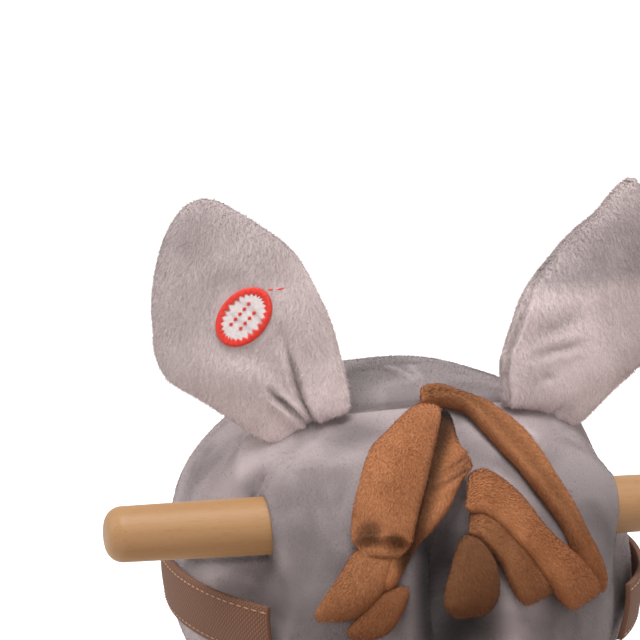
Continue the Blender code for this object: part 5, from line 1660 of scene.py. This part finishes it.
# Where the pad rests on the back it stays flat.
share = np.abs((places[:, 0] - body_middle.x) / body_half.x)
girth = (1 - np.minimum(share, 0.98) ** BODY_BLUNTNESS) ** (1 / BODY_BLUNTNESS)
radial = np.hypot(
    places[:, 1] / (body_half.y * girth), (places[:, 2] - body_middle.z) / (body_half.z * girth),
)
push = np.maximum(1, CLEAR_OF_BACK / radial)
places[:, 1] *= push
places[:, 2] = body_middle.z + (places[:, 2] - body_middle.z) * push
saddle.data.vertices.foreach_set("co", places.ravel())
finer = saddle.modifiers.new("finer", "SUBSURF")
finer.levels = finer.render_levels = 1
saddle.data = finished_mesh(saddle)
saddle.modifiers.clear()
saddle.data.shade_smooth()
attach(saddle, "animal")
suedette = plush_material("brushed saddle suedette", SADDLE_LIGHT, SADDLE_DARK, 24, 0.55, 1500, 0.4, 0.0004)
dress(saddle, "saddle_suede", suedette, "saddle")
# Quilted channels, with painted shade in their bottoms.
for along in CHANNELS:
    channel = [saddle_place(along, -0.95 + 0.1 * i, CHANNEL_LIFT)[0] for i in range(20)]
    press_line(saddle, channel, (0.0014, 0.0034, 0.0038, 0.0034, 0.0014), 0.0032, 0.3)
edge_points = [saddle_place(along, around, PIPING_LIFT)[0] for along, around in (
    *((-1 + 0.1 * i, 1) for i in range(20)), *((1, 1 - 0.05 * i) for i in range(40)),
    *((1 - 0.1 * i, -1) for i in range(20)), *((-1, -1 + 0.05 * i) for i in range(40)),
)]
piping = bpy.data.curves.new("saddle piping", "CURVE")
piping.dimensions = "3D"
spline = piping.splines.new("NURBS")
spline.points.add(len(edge_points) - 1)
for point, place in zip(spline.points, edge_points):
    point.co = (*place, 1)
spline.use_cyclic_u = True
spline.order_u = 4
piping.resolution_u = 3
piping.bevel_depth = PIPING_RADIUS
piping.bevel_resolution = 3
cord = put_in_scene("saddle_piping_curve", piping)
piped = finished_mesh(cord)
bpy.data.objects.remove(cord)
piped.materials.clear()
trim = put_in_scene("saddle_piping", piped)
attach(trim, "animal")
dress(trim, "saddle_suede", plush_material(
    "dark saddle piping", (0.16, 0.07, 0.04, 1), (0.09, 0.035, 0.02, 1), 60, 0.4, 1500, 0.5,
))


# Tail: a stuffed tube of the brown plush, sewn on at the top, with a fuller tassel at its end.
TAIL_PIVOT = Vector((-0.2761, 0.0, 0.285))
TAIL_PILE = (1.6, 0.0034, 0.0004, 0.5, 0.5, 0.9)
# Rows down the tail from its pivot: how far back, how far down, and the radius.
TAIL_ROWS = (
    (-0.001, -0.0084, 0.0026), (0.000, -0.006, 0.0064), (0.000, 0.000, 0.0088), (0.018, 0.022, 0.009),
    (0.033, 0.055, 0.0105), (0.042, 0.095, 0.0135), (0.045, 0.130, 0.0168), (0.046, 0.155, 0.0142),
    (0.0462, 0.1655, 0.008), (0.0462, 0.1688, 0.002),
)
bm = bmesh.new()
stack_rings(bm, [
    (TAIL_PIVOT + Vector((-back, 0, -down)), radius, radius)
    for back, down, radius in catmull_rows(TAIL_ROWS, 5)
], 40)
tail = add_piece("stuffed_tail", bm, "tail_body")
dress(tail, "brown_plush", brown_plush, "tail")
ripple(tail, (0.05, 0.02), (0.0007, 0.0005), 9)
comb(tail, (0, 0, -1))
grow_pile(tail, TAIL_PILE, 14, "brown_plush", brown_tufts, "tail_body")


# Rockers: two beech planks cut as smooth bows, let in for the cross boards, sanded and lacquered.
ROCKER_RADIUS = 0.850
ROCKER_DEPTH = 0.050
ROCKER_MIDDLE_RISE = 0.0216
ROCKER_MIDDLE_REACH = 0.200
FOOTREST_RISE = 0.034
FOOTREST_REACH = 0.036
ROCKER_EDGE = 0.003
RUNNING_STEPS = 70
TOP_STEPS = 120
END_STEPS = 16
footrest_low, footrest_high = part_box("footrest_bar")
footrest_x = (footrest_low.x + footrest_high.x) / 2
rocker_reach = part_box("rocker_left")[1].x
end_radius = ROCKER_DEPTH / 2
end_turn = math.asin((rocker_reach - end_radius) / (ROCKER_RADIUS - end_radius))
rocker_wood = wood_material("lacquered rocker beech", (0.56, 0.335, 0.165, 1), (0.37, 0.20, 0.092, 1))
notches = [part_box(f"cross_board_{end}") for end in ("front", "rear")]


def bow(turn_angle, depth):
    """A point of the bow, by its turn from the middle and its depth in from the running edge."""
    away = ROCKER_RADIUS - depth
    return away * math.sin(turn_angle), ROCKER_RADIUS - away * math.cos(turn_angle)


def rocker_depth(x):
    """How deep the plank is at a place along it."""
    middle = ROCKER_MIDDLE_RISE * math.exp(-((x / ROCKER_MIDDLE_REACH) ** 4))
    step = FOOTREST_RISE * math.exp(-(((x - footrest_x) / FOOTREST_REACH) ** 2))
    return ROCKER_DEPTH + middle + step


outline = [bow(end_turn * (2 * i / RUNNING_STEPS - 1), 0) for i in range(RUNNING_STEPS + 1)]
centre_x, centre_z = bow(end_turn, end_radius)
rounded_end = []
for i in range(1, END_STEPS):
    turn_angle = end_turn - math.pi / 2 + math.pi * i / END_STEPS
    rounded_end.append((
        centre_x + end_radius * math.cos(turn_angle), centre_z + end_radius * math.sin(turn_angle),
    ))
outline += rounded_end
turns = [end_turn * (1 - 2 * i / TOP_STEPS) for i in range(TOP_STEPS + 1)]
above = [bow(turn_angle, rocker_depth(ROCKER_RADIUS * math.sin(turn_angle))) for turn_angle in turns]
for low, high in notches:
    within = [i for i, (x, z) in enumerate(above) if low.x < x < high.x]
    above[within[0]:within[-1] + 1] = [
        (high.x, above[within[0]][1]), (high.x, low.z), (low.x, low.z), (low.x, above[within[-1]][1]),
    ]
outline += above
outline += [(-x, z) for x, z in reversed(rounded_end)]
for name in ("left", "right"):
    low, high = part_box(f"rocker_{name}")
    bm = bmesh.new()
    face = bm.faces.new([bm.verts.new((x, low.y, z)) for x, z in outline])
    pulled = bmesh.ops.extrude_face_region(bm, geom=[face])["geom"]
    pulled = [item for item in pulled if isinstance(item, bmesh.types.BMVert)]
    bmesh.ops.translate(bm, verts=pulled, vec=(0, high.y - low.y, 0))
    bmesh.ops.recalc_face_normals(bm, faces=bm.faces)
    rims = [edge for edge in bm.edges if abs(edge.verts[0].co.y - edge.verts[1].co.y) < 1e-6]
    bmesh.ops.bevel(
        bm, geom=rims, offset=ROCKER_EDGE, affect="EDGES", segments=3, profile=0.5, material=-1,
        clamp_overlap=True,
    )
    rocker = add_piece(f"bow_rocker_{name}", bm)
    rocker.data.set_sharp_from_angle(angle=math.radians(35))
    dress(rocker, "beech", rocker_wood, f"rocker_{name}")


# Cross boards and bars: planed beech boards with rounded edges, screwed down to the rockers, and
# turned bars glued between them.
BOARD_EDGE = 0.004
BAR_EDGE = 0.002
board_wood = wood_material(
    "lacquered board beech", (0.57, 0.34, 0.17, 1), (0.38, 0.205, 0.095, 1), (0, 0, math.radians(90)),
)
for end in ("front", "rear"):
    low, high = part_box(f"cross_board_{end}")
    bm = bmesh.new()
    bmesh.ops.create_cube(bm, size=1)
    bmesh.ops.scale(bm, verts=bm.verts, vec=high - low)
    bmesh.ops.translate(bm, verts=bm.verts, vec=(high + low) / 2)
    bmesh.ops.bevel(
        bm, geom=bm.edges, offset=BOARD_EDGE, affect="EDGES", segments=4, profile=0.5, material=-1,
    )
    board = add_piece(f"planed_cross_board_{end}", bm)
    board.data.set_sharp_from_angle(angle=math.radians(50))
    dress(board, "beech", board_wood, f"cross_board_{end}")
for node in ("footrest_bar", "stretcher_front", "stretcher_rear"):
    middle, half = fitted(node)[2:]
    profile = [
        (0, -half.y), (half.z - BAR_EDGE, -half.y), (half.z - 0.3 * BAR_EDGE, -half.y + 0.3 * BAR_EDGE),
        (half.z, -half.y + BAR_EDGE),
    ]
    bm = turned(profile + [(wide, -tall) for wide, tall in reversed(profile)], (0, 1, 0), 64)
    bmesh.ops.translate(bm, verts=bm.verts, vec=middle)
    bar = add_piece(f"turned_{node}", bm)
    bar.data.set_sharp_from_angle(angle=math.radians(50))
    dress(bar, "beech", board_wood, node)


# Hidden pieces: the raw pine posts and plywood board inside the stuffing, the zinc plated bolts and
# screw, and the sound unit of moulded plastic, board, speaker and cells inside the left ear.
raw_pine = wood_material(
    "raw pine", (0.72, 0.52, 0.31, 1), (0.55, 0.36, 0.19, 1), (0, math.radians(90), 0), 0.0,
)
raw_plywood = wood_material("raw plywood", (0.66, 0.50, 0.32, 1), (0.52, 0.36, 0.21, 1), (0, 0, 0), 0.0)


def speckled_material(name, colour, roughness, metallic, scale, contrast):
    """A plain moulded or plated finish with slight unevenness in its tone and gloss."""
    material, tree, shader = new_material(name)
    uneven = noise(tree, object_place(tree), scale, 4.0)
    feed(shader, {
        "Base Color": scaled(tree, colour, ranged(tree, uneven, 1 - contrast, 1 + contrast)),
        "Roughness": ranged(tree, uneven, roughness * 0.75, roughness * 1.3),
        "Normal": raised(tree, uneven, 0.2, 0.0002), "Metallic": metallic,
    })
    return material


zinc = speckled_material("zinc plated steel", (0.62, 0.62, 0.60), 0.32, 1.0, 700.0, 0.12)
white_plastic = speckled_material("moulded white plastic", (0.74, 0.74, 0.72), 0.42, 0.0, 900.0, 0.05)
board_green = speckled_material("green circuit board", (0.03, 0.20, 0.07), 0.45, 0.0, 1200.0, 0.3)
for material, nodes in (
    (raw_pine, (*(f"leg_post_{end}_{name}" for end, name, _ in CORNERS), "neck_post")),
    (raw_plywood, ("spine_board",)),
    (zinc, ("handle_screw", "speaker", "button_cell_1", "button_cell_2", "button_cell_3",
            *(f"board_bolt_{end}_{name}" for end, name, _ in CORNERS))),
    (white_plastic, ("sound_case", "sound_cover", "sound_button")),
    (board_green, ("circuit_board",)),
):
    for node in nodes:
        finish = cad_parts[node].data.materials
        finish.clear()
        finish.append(material)
